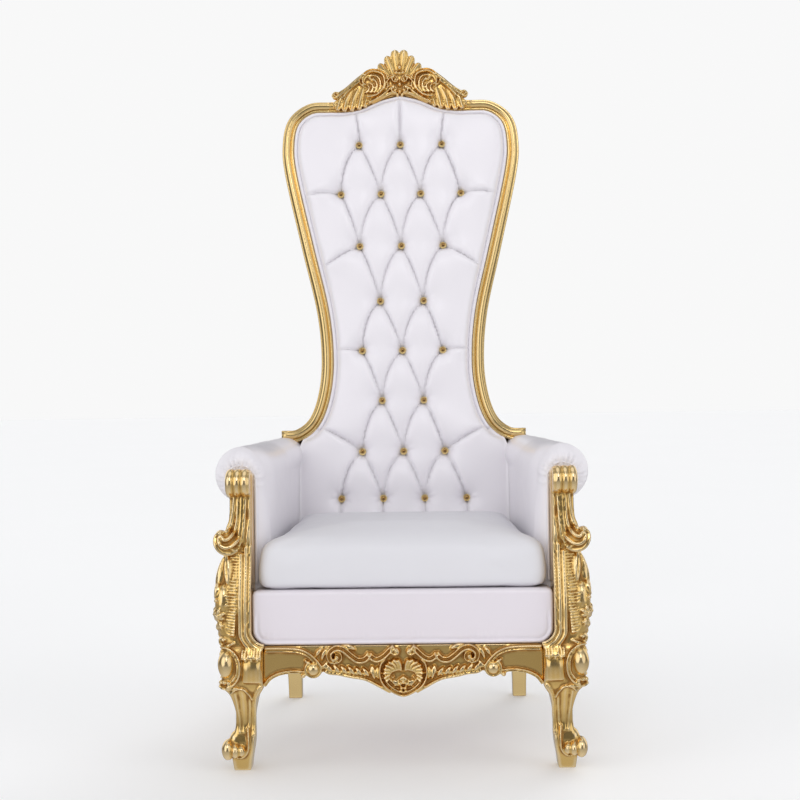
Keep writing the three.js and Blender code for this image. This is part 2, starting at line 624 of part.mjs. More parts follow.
// A side rail, with a shaped lower edge and a low scroll over its middle.
function sideRail(side) {
  const [front, back] = [BLOCK_BACK + GAP, 164];
  const middle = (front + back) / 2;
  const bends = [[front, 198], [-210, 211], [-130, 200], [middle, 186], [10, 200], [90, 211], [back, 206]];
  const edge = smooth(bends);
  const lower = range(13).map((i) => edge.getPoint(i / 12)).map(({ x, y }) => [x, y]);
  const outline = [[front, RAIL_TOP], ...lower, [back, RAIL_TOP]];
  const outer = ARM_CENTRE + 4;
  const board = plate(outline, -outer, -outer + SIDE_THICKNESS).rotate([0, 0, 90]);
  const face = (u, v) => ({ point: vec(outer, u, v), normal: vec(1, 0, 0) });
  const wave = [[0, 236], [30, 252], [68, 238], [100, 252], [112, 238], [100, 230]];
  const scroll = (way) => wave.map(([u, v]) => [middle + u * way, v]);
  const carving = [
    ...[1, -1].map((way) => ridge(face, scroll(way), { width: 10, height: 8, steps: 5, section: KEEL })),
    leaf(face, [middle, 262], -90, 68, 34),
  ];
  const whole = drawnIn(join([board, ...carving]), 1).subtract(box([0, 600], [-600, front], [0, 600]));
  return side > 0 ? whole : whole.mirror([1, 0, 0]);
}

// A back leg, raked to the rear; each row: height, inner X, outer X, front Y, back Y.
const BACK_LEG = [
  [0, 281, 316, 287, 322], [90, 276, 315, 246, 288], [170, 270, 314, 210, 258],
  [205, 268.3, 318, 192, 246], [225, 268.3, 333, 176, 240], [RAIL_TOP - GAP, 268.3, 336, 166, 230],
];

function backLeg(side) {
  return loft(BACK_LEG.map(([z, x0, x1, y0, y1]) =>
    [[x0, y0], [x1, y0], [x1, y1], [x0, y1]].map(([x, y]) => vec(side * x, y, z))));
}

// ---- The object ----
const gilt = () => new THREE.MeshStandardMaterial({ color: 0xcf9f3f, roughness: 0.3, metalness: 1 });
const white = () => new THREE.MeshStandardMaterial({ color: 0xe9e5ea, roughness: 0.4, metalness: 0 });
const brass = () => new THREE.MeshStandardMaterial({ color: 0xd8b04a, roughness: 0.2, metalness: 1 });

function part(name, made, material) {
  const mesh = new THREE.Mesh(geometryOf(mainBody(made.simplify(TOLERANCE))), material());
  mesh.name = name;
  return mesh;
}

const throne = new THREE.Group();
const back = new THREE.Group();
back.position.set(0, BACK_Y, BACK_Z);
back.rotation.x = -RAKE;
back.updateMatrix();
throne.add(back);

back.add(part("crest_rail", crestRail(), gilt));
back.add(part("inside_back", insideBack(), white));
back.add(part("outside_back", outsideBack(), white));
BUTTON_ROWS.forEach(({ s, xs }, row) =>
  xs.forEach((x, i) => {
    const mesh = part(`button_${row + 1}_${i + 1}`, button(), brass);
    mesh.position.set(x, -BUTTON_DEPTH - 2 * GAP, s);
    back.add(mesh);
  }));

const seat = seatBase();
throne.add(part("seat_base", seat, white));
throne.add(part("seat_cushion", cushion(), white));
throne.add(part("front_rail", frontRail(), gilt));
throne.add(part("back_rail", box([-268, 268], [150, 190], [RAIL_BOTTOM, RAIL_TOP - GAP]), gilt));

const intoBack = [...back.matrix.clone().invert().elements];
const behindBack = box([-600, 600], [FRAME_DEPTH, 600], [-600, 900]).transform([...back.matrix.elements]);
for (const [name, side] of [["right", 1], ["left", -1]]) {
  throne.add(part("arm_" + name, arm(side).subtract(behindBack), white));
  back.add(part("back_stile_" + name, stile(side).subtract(arm(side, GAP).transform(intoBack)), gilt));
  throne.add(part("front_post_" + name, frontPost(side, seat), gilt));
  throne.add(part("side_rail_" + name, sideRail(side), gilt));
  throne.add(part("back_leg_" + name, backLeg(side), gilt));
}

// The object's own frame has its origin on the floor, under the middle of its bounding box.
const { min, max } = new THREE.Box3().setFromObject(throne, true);
throne.position.y = -(min.y + max.y) / 2;
const object = new THREE.Group();
object.add(throne);

export default object;
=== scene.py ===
"""The throne's looks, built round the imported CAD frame: carved gilt wood, white buttoned upholstery."""

import json
import math
from functools import partial

import bmesh
import bpy
import numpy as np
from mathutils import Matrix, Vector


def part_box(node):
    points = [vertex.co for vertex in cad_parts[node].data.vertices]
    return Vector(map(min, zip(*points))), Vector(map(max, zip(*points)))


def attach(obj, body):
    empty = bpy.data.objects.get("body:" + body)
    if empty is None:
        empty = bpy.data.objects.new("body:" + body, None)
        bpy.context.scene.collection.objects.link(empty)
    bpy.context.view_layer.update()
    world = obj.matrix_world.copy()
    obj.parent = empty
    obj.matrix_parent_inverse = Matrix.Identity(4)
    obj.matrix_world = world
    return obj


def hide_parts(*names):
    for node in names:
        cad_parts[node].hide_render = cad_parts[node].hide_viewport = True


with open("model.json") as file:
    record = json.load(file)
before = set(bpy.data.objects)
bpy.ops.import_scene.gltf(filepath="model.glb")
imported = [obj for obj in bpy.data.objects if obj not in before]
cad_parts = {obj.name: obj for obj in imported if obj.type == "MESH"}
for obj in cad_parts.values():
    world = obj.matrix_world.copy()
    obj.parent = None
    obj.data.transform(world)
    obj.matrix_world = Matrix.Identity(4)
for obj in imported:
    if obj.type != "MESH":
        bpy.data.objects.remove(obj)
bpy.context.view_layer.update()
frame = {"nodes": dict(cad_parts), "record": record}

# ---- Driving dimensions, in millimetres as in the CAD source ----
MM = 0.001
SEAT_FRONT = -362
ORIGIN_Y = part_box("seat_base")[0].y / MM - SEAT_FRONT  # the CAD frame's own shift of the throne
BACK_Y, BACK_Z = 150, 390  # where the plane of the back crosses the seat
RAKE = math.radians(9.5)
FRAME_WIDTH, FRAME_DEPTH = 32, 38
FRAME_JOINT, FRAME_TOP, ARCH = 190, 1215, 1245
CREST_FACE = 7
COVER_THICKNESS = 12
PANEL_FOOT = -112
GAP = 0.3

STILE_PATH = [
    (316, 314), (272, 318), (231, 352), (206, 420), (197, 515), (209, 645),
    (250, 822), (295, 1022), (303, 1108), (289, 1174), (244, 1211), (FRAME_JOINT, FRAME_TOP),
]
CREST_HALF = [(FRAME_JOINT, FRAME_TOP), (150, FRAME_TOP), (110, 1222), (56, 1246)]
CREST_PATH = CREST_HALF + [(0, 1260)] + [(-x, s) for x, s in reversed(CREST_HALF)]

BUTTON_ROWS = [
    (1101, (-111, 0, 111)), (963, (-160, -53, 53, 160)), (819, (-110, 0, 110)), (669, (-57, 57)),
    (536, (-105, 0, 105)), (404, (-54, 54)), (271, (-106, 0, 106)), (150, (-160, -53, 53, 160)),
]
BUTTON_SWELL = 1.22  # how much wider than its profile a button is
BUTTON_STANDS = 2  # how far its foot stands out of the dimple

# Seat and arms.
RAIL_TOP, SEAT_TOP, CUSHION_TOP = 271, 388, 514
ARM_FRONT, ARM_TOP, ARM_ROLL, ARM_CENTRE, ARM_INNER = -300, 694, 62, 350, 288
ARM_BACK = ARM_FRONT - GAP
ARM_TURN, ARM_REAR = 34.0, 318  # the rounding of the arm's front, and how far back the arm runs
POST_INNER = 320.5
TOE_IN = math.tan(math.radians(2))
KNOB_PLACE, KNOB_Y = (349, 617), -334
KNOB_START, KNOB_RADIUS, KNOB_LENGTH = 322.5, 30.5, 53
APRON_FRONT, APRON_THICKNESS, BLOCK_INNER, BLOCK_BACK = -360, 42, 297, -284
SIDE_THICKNESS = 42

# Fineness of the meshes.
CREST_VOXEL, APRON_VOXEL, POST_VOXEL, SIDE_VOXEL, CUSHION_VOXEL = 1.5, 1.65, 1.95, 3.0, 5.5
COARSER = 1
BACK_CELL, ARM_CELL, SEAT_CELL, REAR_CELL = ((3.5, 2.7, 3.0, 7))
RELAX_ROUNDS = 260
ARM_STATIONS = 40
PEBBLES, BUTTON_SIDES = 760.0, 28
SINK = 3.0  # how far a carved stroke reaches below its face
CAVITY_REACH = 1.6  # depth at which a hollow counts as fully dark

# The loose cushion's cover, blown up as cloth.
PRESSURE, CLOTH_REACH, CLOTH_FRAMES = 4.0, 9, 20


# ---- Camera: at the height of the arms, a little right of the middle, with a slight roll ----
CAMERA_PLACE, CAMERA_YAW, CAMERA_ROLL, LENS = (0.0404, -2.905, 0.7915), 0.894, -0.755, 53.93


def make_camera():
    data = bpy.data.cameras.new("camera")
    data.lens, data.sensor_width = LENS, 36
    camera = bpy.data.objects.new("camera", data)
    bpy.context.scene.collection.objects.link(camera)
    place = Matrix.Translation(Vector(CAMERA_PLACE) + Vector((0, ORIGIN_Y * MM, 0)))
    level_view = Matrix.Rotation(math.radians(CAMERA_YAW), 4, "Z") @ Matrix.Rotation(math.radians(90), 4, "X")
    camera.matrix_world = place @ level_view @ Matrix.Rotation(math.radians(CAMERA_ROLL), 4, "Z")
    bpy.context.scene.camera = camera


# ---- Materials ----
class Tree:
    """Adds shader nodes to a node tree and links them by name."""

    def __init__(self, tree):
        self.tree = tree

    def add(self, kind, inputs=None, **settings):
        node = self.tree.nodes.new(kind)
        for key, value in settings.items():
            setattr(node, key, value)
        for key, value in (inputs or {}).items():
            self.put(node.inputs[key], value)
        return node

    def put(self, socket, value):
        if isinstance(value, bpy.types.NodeSocket):
            self.tree.links.new(value, socket)
        else:
            socket.default_value = value


class Nodes(Tree):
    """A new material's nodes, with the few that the finishes share."""

    def __init__(self, name, specular=0.5):
        self.material = bpy.data.materials.new(name)
        self.material.use_nodes = True
        super().__init__(self.material.node_tree)
        self.shader = self.tree.nodes["Principled BSDF"]
        self.shader.inputs["Specular IOR Level"].default_value = specular
        self.place = self.add("ShaderNodeTexCoord").outputs["Object"]

    def noise(self, scale, detail):
        wanted = {"Vector": self.place, "Scale": scale, "Detail": detail, "Roughness": 0.55}
        return self.add("ShaderNodeTexNoise", wanted).outputs["Fac"]

    def ramp(self, value, low, high, out=(0.0, 1.0)):
        wanted = {"Value": value, "From Min": low, "From Max": high, "To Min": out[0], "To Max": out[1]}
        return self.add("ShaderNodeMapRange", wanted).outputs["Result"]

    def blend(self, factor, first, second):
        node = self.add("ShaderNodeMix", data_type="RGBA")
        self.put(node.inputs[0], factor)
        self.put(node.inputs[6], (*first, 1) if isinstance(first, tuple) else first)
        self.put(node.inputs[7], (*second, 1) if isinstance(second, tuple) else second)
        return node.outputs[2]

    def maths(self, operation, first, second):
        return self.add("ShaderNodeMath", {0: first, 1: second}, operation=operation).outputs[0]

    def attribute(self, name):
        return self.add("ShaderNodeAttribute", attribute_name=name).outputs["Fac"]

    def bump(self, height, strength, distance, below=None):
        wanted = {"Height": height, "Strength": strength, "Distance": distance}
        if below is not None:
            wanted["Normal"] = below
        return self.add("ShaderNodeBump", wanted).outputs["Normal"]


HOLLOW = (0.45, 0.24, 0.07)


def button_metal():
    """A polished gold button: the domed middle is painted dark brown as a painted reflection of the dark room
    in front, set in a rim painted paler than gold as a painted highlight.
    """
    n = Nodes("gold_button")
    # Painted reflection and painted highlight: dark brown where the weight is 1, lightened gold on the rim.
    colour = n.blend(n.attribute("dome_painted_reflection"), (1.0, 0.80, 0.36), (0.34, 0.20, 0.075))
    n.put(n.shader.inputs["Base Color"], colour)
    n.put(n.shader.inputs["Roughness"], n.ramp(n.noise(90, 3), 0.3, 0.7, (0.05, 0.12)))
    n.shader.inputs["Metallic"].default_value = 1.0
    return n.material


def gold_leaf(name, deep, bright, roughness, uneven):
    """Bright leaf over gesso: soft waves, a painted highlight paling the ridges, and red-brown in the
    hollows.
    """
    n = Nodes(name)
    colour = n.blend(n.noise(9, 2), deep, bright)
    rough = n.ramp(n.noise(38, 4), 0.3, 0.7, (roughness, roughness + 0.1))
    cavity = n.attribute("cavity")
    stain = n.maths("MULTIPLY", cavity, n.noise(55, 3))
    ridge_highlight = tuple(0.5 * c + 0.5 * w for c, w in zip(bright, (0.98, 0.82, 0.56)))
    # Painted highlight: where the cavity is below 0 the ridges are lightened towards pale cream.
    colour = n.blend(n.ramp(cavity, -0.2, -0.8), colour, ridge_highlight)
    colour = n.blend(n.ramp(stain, 0.08, 0.46), colour, HOLLOW)
    rough = n.maths("ADD", rough, n.ramp(stain, 0.08, 0.5, (0, 0.3)))
    n.put(n.shader.inputs["Base Color"], colour)
    n.put(n.shader.inputs["Roughness"], rough)
    n.shader.inputs["Metallic"].default_value = 1.0
    waves = n.bump(n.noise(60, 3), uneven, 0.0010)
    n.put(n.shader.inputs["Normal"], n.bump(n.noise(420, 2), uneven / 2, 0.0004, waves))
    return n.material


def leathercloth(name, colour, roughness, coat=0.0):
    """White coated cloth: a fine pebbled grain, faint clouds of shade, a broad shine."""
    n = Nodes(name)
    cells = n.add("ShaderNodeTexVoronoi", {"Vector": n.place, "Scale": PEBBLES}, feature="SMOOTH_F1")
    tint = tuple(c * 0.965 for c in colour)
    n.put(n.shader.inputs["Base Color"], n.blend(n.noise(6, 2), tint, colour))
    uneven = (roughness - 0.05, roughness + 0.06)
    n.put(n.shader.inputs["Roughness"], n.ramp(n.noise(30, 3), 0.3, 0.7, uneven))
    n.shader.inputs["Coat Weight"].default_value = coat
    n.shader.inputs["Coat Roughness"].default_value = 0.22
    grain = n.bump(cells.outputs["Distance"], 0.16, 0.0004)
    n.put(n.shader.inputs["Normal"], n.bump(n.noise(45, 3), 0.10, 0.0012, grain))
    return n.material


# ---- Curves and closed shells ----
def catmull(points, steps):
    """The same Catmull-Rom curve as in the CAD source, at steps + 1 even parameters."""
    p = np.asarray(points, float)
    spans = len(p) - 1
    p = np.vstack([2 * p[0] - p[1], p, 2 * p[-1] - p[-2]])
    t = np.linspace(0, spans, steps + 1)
    i = np.minimum(t.astype(int), spans - 1)
    w = (t - i)[:, None]
    a, b, c, d = p[i], p[i + 1], p[i + 2], p[i + 3]
    m0, m1 = (c - a) / 2, (d - b) / 2
    return (2 * b - 2 * c + m0 + m1) * w**3 + (3 * c - 3 * b - 2 * m0 - m1) * w**2 + m0 * w + b


def unit(v):
    return v / np.maximum(np.linalg.norm(v, axis=-1, keepdims=True), 1e-9)


def even_spaced(curve, count):
    """The curve's points again, the same distance apart."""
    length = np.concatenate([[0], np.cumsum(np.linalg.norm(np.diff(curve, axis=0), axis=1))])
    at = np.linspace(0, length[-1], count)
    return np.stack([np.interp(at, length, axis) for axis in curve.T], axis=1)


def arc(centre, radii, angles, count=9):
    """Points of an arc or spiral: radius and angle (degrees) both run from first to last."""
    r = np.linspace(*radii, count)
    a = np.radians(np.linspace(*angles, count))
    return [(centre[0] + rr * math.cos(aa), centre[1] + rr * math.sin(aa)) for rr, aa in zip(r, a)]


class Shell:
    """Closed surfaces gathered into one mesh; they may run into each other until it is remeshed."""

    def __init__(self):
        self.points, self.faces, self.count = [], [], 0

    def add(self, points, faces):
        self.points.append(np.asarray(points, float))
        self.faces += [tuple(i + self.count for i in f) for f in faces]
        self.count += len(points)

    def loft(self, rings):
        """A skin over rings of equal count, closed at both ends."""
        m, k, _ = rings.shape
        faces = []
        for i in range(m - 1):
            for j in range(k):
                a, b = i * k + j, i * k + (j + 1) % k
                faces.append((a, b, b + k, a + k))
        faces.append(tuple(range(k - 1, -1, -1)))
        faces.append(tuple(range((m - 1) * k, m * k)))
        self.add(rings.reshape(-1, 3), faces)

    def merged(self):
        return np.vstack(self.points), self.faces

    def mirrored(self):
        """This shell with its mirror image in X beside it."""
        points, faces = self.merged()
        both = Shell()
        both.add(points, faces)
        both.add(points * (-1, 1, 1), [f[::-1] for f in faces])
        return both

    def moved(self, change):
        self.points = [change(p) for p in self.points]
        return self


def back_to_world(p):
    """From the back's own frame (across, behind, up) to the throne's."""
    x, n, s = p.T
    c, k = math.cos(RAKE), math.sin(RAKE)
    return np.stack([x, BACK_Y + n * c + s * k, BACK_Z + s * c - n * k], axis=1)


def new_object(name, points, faces):
    mesh = bpy.data.meshes.new(name)
    placed = (np.asarray(points) + (0, ORIGIN_Y, 0)) * MM
    mesh.from_pydata(placed.tolist(), [], faces)
    mesh.update()
    thing = bpy.data.objects.new(name, mesh)
    bpy.context.scene.collection.objects.link(thing)
    return thing


def outward(thing):
    """Turns the faces of every closed shell outward."""
    b = bmesh.new()
    b.from_mesh(thing.data)
    bmesh.ops.recalc_face_normals(b, faces=b.faces)
    b.to_mesh(thing.data)
    b.free()


def apply_modifiers(thing):
    graph = bpy.context.evaluated_depsgraph_get()
    mesh = bpy.data.meshes.new_from_object(thing.evaluated_get(graph))
    old, thing.data = thing.data, mesh
    thing.modifiers.clear()
    bpy.data.meshes.remove(old)


def coordinates(mesh):
    co = np.empty(len(mesh.vertices) * 3)
    mesh.vertices.foreach_get("co", co)
    return co.reshape(-1, 3)


def neighbours(mesh):
    pairs = np.empty(len(mesh.edges) * 2, int)
    mesh.edges.foreach_get("vertices", pairs)
    return pairs.reshape(-1, 2)


def averaged(values, pairs, times):
    """Each vertex's values, averaged with its neighbours' that many times."""
    n = len(values)
    a, b = pairs.T
    degree = np.maximum(np.bincount(a, minlength=n) + np.bincount(b, minlength=n), 1)
    for _ in range(times):
        total = np.stack([
            np.bincount(a, values[b, k], n) + np.bincount(b, values[a, k], n) for k in range(values.shape[1])
        ], axis=1)
        values = 0.5 * values + 0.5 * total / degree[:, None]
    return values


def store(mesh, name, values):
    layer = mesh.attributes.new(name, "FLOAT", "POINT")
    layer.data.foreach_set("value", np.asarray(values, np.float32))


def store_cavity(thing):
    """How far each point lies in a hollow (above 0) or on a ridge (below 0), from the smoothed shape."""
    mesh = thing.data
    co, pairs = coordinates(mesh), neighbours(mesh)
    normals = np.empty(len(mesh.vertices) * 3)
    mesh.vertices.foreach_get("normal", normals)
    normals = normals.reshape(-1, 3)
    near = averaged(co, pairs, 6)
    far = averaged(near, pairs, 22)
    depth = ((near - co) * normals).sum(1) * 1.6 + ((far - co) * normals).sum(1)
    values = averaged((depth / (CAVITY_REACH * MM))[:, None], pairs, 1)[:, 0]
    store(mesh, "cavity", np.clip(values, -1, 1))


def smooth_shade(mesh):
    mesh.polygons.foreach_set("use_smooth", [True] * len(mesh.polygons))
    mesh.update()


def voxel_skin(thing, size):
    """One clean skin round everything in the mesh."""
    remesh = thing.modifiers.new("skin", "REMESH")
    remesh.mode = "VOXEL"
    remesh.voxel_size = size * MM
    apply_modifiers(thing)


def remeshed(name, shell, voxel):
    """Everything in the shell as one carved piece, slightly softened."""
    thing = new_object(name, *shell.merged())
    outward(thing)
    voxel_skin(thing, voxel * COARSER)
    mesh = thing.data
    co = averaged(coordinates(mesh), neighbours(mesh), 1)
    mesh.vertices.foreach_set("co", co.ravel())
    smooth_shade(mesh)
    store_cavity(thing)
    return thing


def plain_piece(name, shell):
    """The shell as it is, smooth shaded, with faces that look outward."""
    thing = new_object(name, *shell.merged())
    outward(thing)
    smooth_shade(thing.data)
    return thing


def store_level(thing):
    store(thing.data, "cavity", np.zeros(len(thing.data.vertices)))


def finish_piece(thing, node, material):
    thing.data.materials.clear()
    thing.data.materials.append(material)
    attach(thing, "root")
    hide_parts(node)
    return thing


# ---- Carving strokes ----
# Sections of a carved stroke: (across, height), from one edge to the other.
ROUND = [(-1, 0), (-0.86, 0.5), (-0.5, 0.87), (0, 1), (0.5, 0.87), (0.86, 0.5), (1, 0)]
ROLL = [(-1, 0), (-0.92, 0.72), (-0.62, 1), (-0.28, 0.86), (-0.08, 0.42), (0.2, 0.36),
        (0.5, 0.52), (0.78, 0.7), (0.94, 0.5), (1, 0)]
LEAF = [(-1, 0), (-0.8, 0.55), (-0.4, 0.9), (-0.12, 0.72), (0, 0.55), (0.12, 0.72), (0.4, 0.9),
        (0.8, 0.55), (1, 0)]
PETAL = [(-1, 0), (-0.97, 0.45), (-0.88, 0.7), (-0.76, 0.66), (-0.6, 0.6), (-0.3, 0.82), (0, 0.95),
         (0.3, 0.82), (0.6, 0.6), (0.76, 0.66), (0.88, 0.7), (0.97, 0.45), (1, 0)]
KEEL = [(-1, 0), (-0.7, 0.42), (-0.3, 0.8), (0, 1), (0.3, 0.8), (0.7, 0.42), (1, 0)]


def level(t):
    return np.ones_like(t)


def spindle(t):
    return np.sin(np.pi * (0.06 + 0.88 * t)) ** 0.7


def tongue(t):
    """Narrow at the root, widest near a round tip."""
    return (0.5 + 0.55 * t) * np.sqrt(np.clip(1 - np.clip((t - 0.72) / 0.3, 0, 1) ** 2.4, 0, 1)) + 0.03


def tail(t):
    return 1.0 - 0.72 * t


def head(t):
    return 0.28 + 0.72 * t


def stroke(shell, face, path, width, height, section=ROUND, swell=level, rise=None, steps=22):
    """A carved stroke laid along a path on a face. face(u, v) gives points and outward normals."""
    uv = even_spaced(catmull(path, steps * 2), steps + 1)
    points, normals = face(uv[:, 0], uv[:, 1])
    across = unit(np.cross(normals, np.gradient(points, axis=0)))
    t = np.linspace(0, 1, steps + 1)
    w = (width / 2 * swell(t))[:, None, None]
    h = (height * (rise or swell)(t))[:, None]
    side = np.array([a for a, _ in section] + [0.96, -0.96])[None, :, None]
    out = np.array([b for _, b in section])[None, :] * h
    out = np.concatenate([out, np.full((steps + 1, 2), -SINK)], axis=1)
    shell.loft(points[:, None] + across[:, None] * side * w + normals[:, None] * out[..., None])


def blob(shell, centre, radii, rings, around):
    """A closed ellipsoid."""
    lat = np.linspace(-np.pi / 2, np.pi / 2, rings + 1)[1:-1]
    lon = np.linspace(0, 2 * np.pi, around, endpoint=False)
    ring = np.cos(lat)
    body = [np.outer(ring, np.cos(lon)), np.outer(ring, np.sin(lon)), np.outer(np.sin(lat), np.ones(around))]
    shell.loft(np.stack(body, axis=2) * np.asarray(radii, float) + np.asarray(centre, float))


def bead(shell, face, u, v, radius, flat=1.0):
    points, normals = face(np.array([float(u)]), np.array([float(v)]))
    blob(shell, points[0] + normals[0] * radius * 0.25 * flat, (radius, radius * flat, radius), 8, 12)


def flat_face(y, rise=0.0):
    def face(u, v):
        u, v = np.asarray(u, float), np.asarray(v, float)
        return np.stack([u, np.full_like(u, y), v + rise], axis=1), np.tile((0.0, -1.0, 0.0), (len(u), 1))
    return face


def board(shell, outline, front, back):
    """A flat board: an outline (across, up), between two depths."""
    o = np.asarray(outline, float)
    rings = np.stack([np.stack([o[:, 0], np.full(len(o), y), o[:, 1]], axis=1) for y in (front, back)])
    shell.loft(rings)


def offset(path, steps, distance):
    """The curve's points moved to the right of the way it runs."""
    c = catmull(path, steps)
    along = unit(np.gradient(c, axis=0))
    return c + np.stack([along[:, 1], -along[:, 0]], axis=1) * distance


# ---- Back frame ----
# The moulding's section, from the inner edge to the outer: (across, forward).
MOULDING = [
    (-16, -38), (-16, 1), (-15.2, 4), (-13.4, 5.6), (-11, 5.8), (-9, 4.6), (-7.8, 2.4), (-6.8, 3.6),
    (-5, 6.8), (-2.2, 9.6), (1.4, 11), (5, 10.6), (8.2, 8.4), (10.6, 5), (12, 2.6), (13, 2.8),
    (14.4, 2.6), (15.6, 0.8), (16, -1.5), (16, -38),
]


def moulding(shell, path, steps, side=1, lip=0):
    """The frame's moulding swept along a path in the plane of the back; lip closes its first end."""
    curve = even_spaced(catmull(path, steps * 3), steps + 1)
    along = unit(np.gradient(curve, axis=0))
    right = np.stack([along[:, 1], -along[:, 0]], axis=1)
    across = np.array([a for a, _ in MOULDING])
    forward = np.tile([f for _, f in MOULDING], (steps + 1, 1)).astype(float)
    if lip:
        gone = np.concatenate([[0], np.cumsum(np.linalg.norm(np.diff(curve, axis=0), axis=1))])
        fill = np.clip(1 - np.abs(gone - lip * 0.55) / (lip * 0.55), 0, 1)[:, None] ** 0.5
        raised = np.maximum(forward, 8.5 * np.sqrt(np.clip(1 - (across / 16) ** 6, 0, 1)))
        forward = np.where(forward > -20, forward + (raised - forward) * fill, forward)
        forward[0] = np.where(forward[0] > -20, np.minimum(forward[0], 3), forward[0])
    x = curve[:, :1] + right[:, :1] * across
    s = curve[:, 1:] + right[:, 1:] * across
    shell.loft(np.stack([side * x, -forward, s], axis=2))


def stile(name, side, gold):
    shell = Shell()
    moulding(shell, STILE_PATH, 150, side, lip=9)
    thing = new_object(name + "_moulded", *shell.moved(back_to_world).merged())
    outward(thing)
    trim = thing.modifiers.new("round", "BEVEL")
    trim.width, trim.segments, trim.limit_method, trim.angle_limit = 0.0012, 2, "ANGLE", math.radians(50)
    apply_modifiers(thing)
    smooth_shade(thing.data)
    store_level(thing)
    return finish_piece(thing, name, gold)


# ---- Panels of cloth over stuffing ----
def inside(points, outline):
    """Which points lie inside a closed outline."""
    x, y = points[:, 0], points[:, 1]
    result = np.zeros(len(points), bool)
    for (x0, y0), (x1, y1) in zip(outline, np.roll(outline, -1, axis=0)):
        if y0 == y1:
            continue
        crosses = ((y0 > y) != (y1 > y)) & (x < (x1 - x0) * (y - y0) / (y1 - y0) + x0)
        result ^= crosses
    return result


def nearest(points, chain, closed=True):
    """Distance from each point to a chain of segments, and the nearest place on it."""
    ends = np.roll(chain, -1, axis=0) if closed else chain[1:]
    starts = chain if closed else chain[:-1]
    best = np.full(len(points), 1e9)
    place = np.zeros((len(points), 2))
    for a, b in zip(starts, ends):
        along = b - a
        t = np.clip(((points - a) @ along) / max(along @ along, 1e-9), 0, 1)
        at = a + t[:, None] * along
        gap = np.hypot(*(points - at).T)
        closer = gap < best
        best[closer], place[closer] = gap[closer], at[closer]
    return best, place


class Panel:
    """A grid laid over an outline in (across, up); the cells at the edge are drawn onto the outline."""

    def __init__(self, outline, cell):
        self.outline = np.asarray(outline, float)
        low, high = self.outline.min(0) - cell, self.outline.max(0) + cell
        counts = np.ceil((high - low) / cell).astype(int) + 1
        self.shape = (counts[1], counts[0])
        across = np.linspace(low[0], high[0], counts[0])
        up = np.linspace(low[1], high[1], counts[1])
        self.places = np.stack(np.meshgrid(across, up), axis=2).reshape(-1, 2)
        self.inner = inside(self.places, self.outline)
        self.gap, at = nearest(self.places, self.outline)
        edge = ~self.inner & (self.gap < cell * 1.45)
        self.places[edge] = at[edge]
        self.gap[~self.inner] = 0
        used = (self.inner | edge).reshape(self.shape)
        whole = used[:-1, :-1] & used[1:, :-1] & used[:-1, 1:] & used[1:, 1:]
        some = self.inner.reshape(self.shape)
        some = some[:-1, :-1] | some[1:, :-1] | some[:-1, 1:] | some[1:, 1:]
        rows, columns = np.nonzero(whole & some)
        first = rows * self.shape[1] + columns
        self.cells = np.stack([first, first + 1, first + 1 + self.shape[1], first + self.shape[1]], axis=1)

    def rim(self):
        """The vertices round the edge of the cells, in order."""
        sides = {}
        for cell in self.cells.tolist():
            for a, b in zip(cell, cell[1:] + cell[:1]):
                if (b, a) in sides:
                    del sides[(b, a)]
                else:
                    sides[(a, b)] = True
        following = {a: b for a, b in sides}
        start = next(iter(following))
        loop = [start]
        while following[loop[-1]] != start:
            loop.append(following[loop[-1]])
        return loop

    def solid(self, shell, front, stations, place):
        """A closed body. front(places, gap) is the depth of its face; stations are those of its edge."""
        used = np.unique(self.cells)
        number = {int(old): new for new, old in enumerate(used)}
        flat = self.places[used]
        depth = front(flat, self.gap[used])
        points = [np.column_stack([flat[:, 0], depth, flat[:, 1]])]
        faces = [tuple(number[i] for i in cell) for cell in self.cells.tolist()]
        rim = [number[i] for i in self.rim()]
        last, count = rim, len(used)
        for station in stations:
            ring = list(range(count, count + len(rim)))
            points.append(np.column_stack([flat[rim, 0], np.full(len(rim), float(station)), flat[rim, 1]]))
            faces += [(a, last[i - 1], ring[i - 1], ring[i]) for i, a in enumerate(last)]
            last, count = ring, count + len(rim)
        faces.append(tuple(last))
        shell.add(place(np.vstack(points)), faces)


def mirrored_outline(half):
    """The right half of an outline, from the bottom up, and its mirror image back down."""
    return half + [(-x, s) for x, s in reversed(half) if x > 0]


def frame_outline(foot, distance):
    """From its foot, up along the frame at a distance from the moulding's middle, and over the arch."""
    reach, top = foot[-1]
    along = offset(STILE_PATH, 60, distance)
    along = [(x, s) for x, s in along if s > 700 or (s > top and x < reach - 2)]
    arch = offset(CREST_HALF + [(0, 1260)], 24, distance)[1:]
    return mirrored_outline(list(foot) + along + [tuple(p) for p in arch])


def tube(shell, points, radius, normals, around=10):
    """A round cord along 3-D points; normals give the side that faces out."""
    along = unit(np.gradient(points, axis=0))
    across = unit(np.cross(normals, along))
    turn = np.linspace(0, 2 * np.pi, around, endpoint=False)
    out = normals[:, None] * np.sin(turn)[None, :, None] + across[:, None] * np.cos(turn)[None, :, None]
    shell.loft(points[:, None] + out * radius)


# ---- Buttoned inside of the back ----
# Heights over the plane of the back; a pleat rises a little between its buttons.
PILLOW, SHEET, PLEAT, PLEAT_RISE, DIMPLE, PANEL_EDGE = 33.0, 12.0, 20.0, 6, 2.0, 3.0
EDGE_PLEATS = [
    ((110, 1101), (124, 1212)), ((160, 963), (290, 957)), ((110, 819), (224, 748)),
    ((106, 536), (196, 534)), ((106, 271), (214, 336)),
]


def curved(start, end, bow):
    """A line from start to end that bows to its left by a distance."""
    (x0, s0), (x1, s1) = start, end
    t = np.linspace(0, 1, 13)
    length = math.hypot(x1 - x0, s1 - s0)
    lift = bow * 4 * t * (1 - t) * (1.3 - 0.6 * t)
    return np.column_stack([x0 + (x1 - x0) * t - (s1 - s0) / length * lift,
                            s0 + (s1 - s0) * t + (x1 - x0) / length * lift])


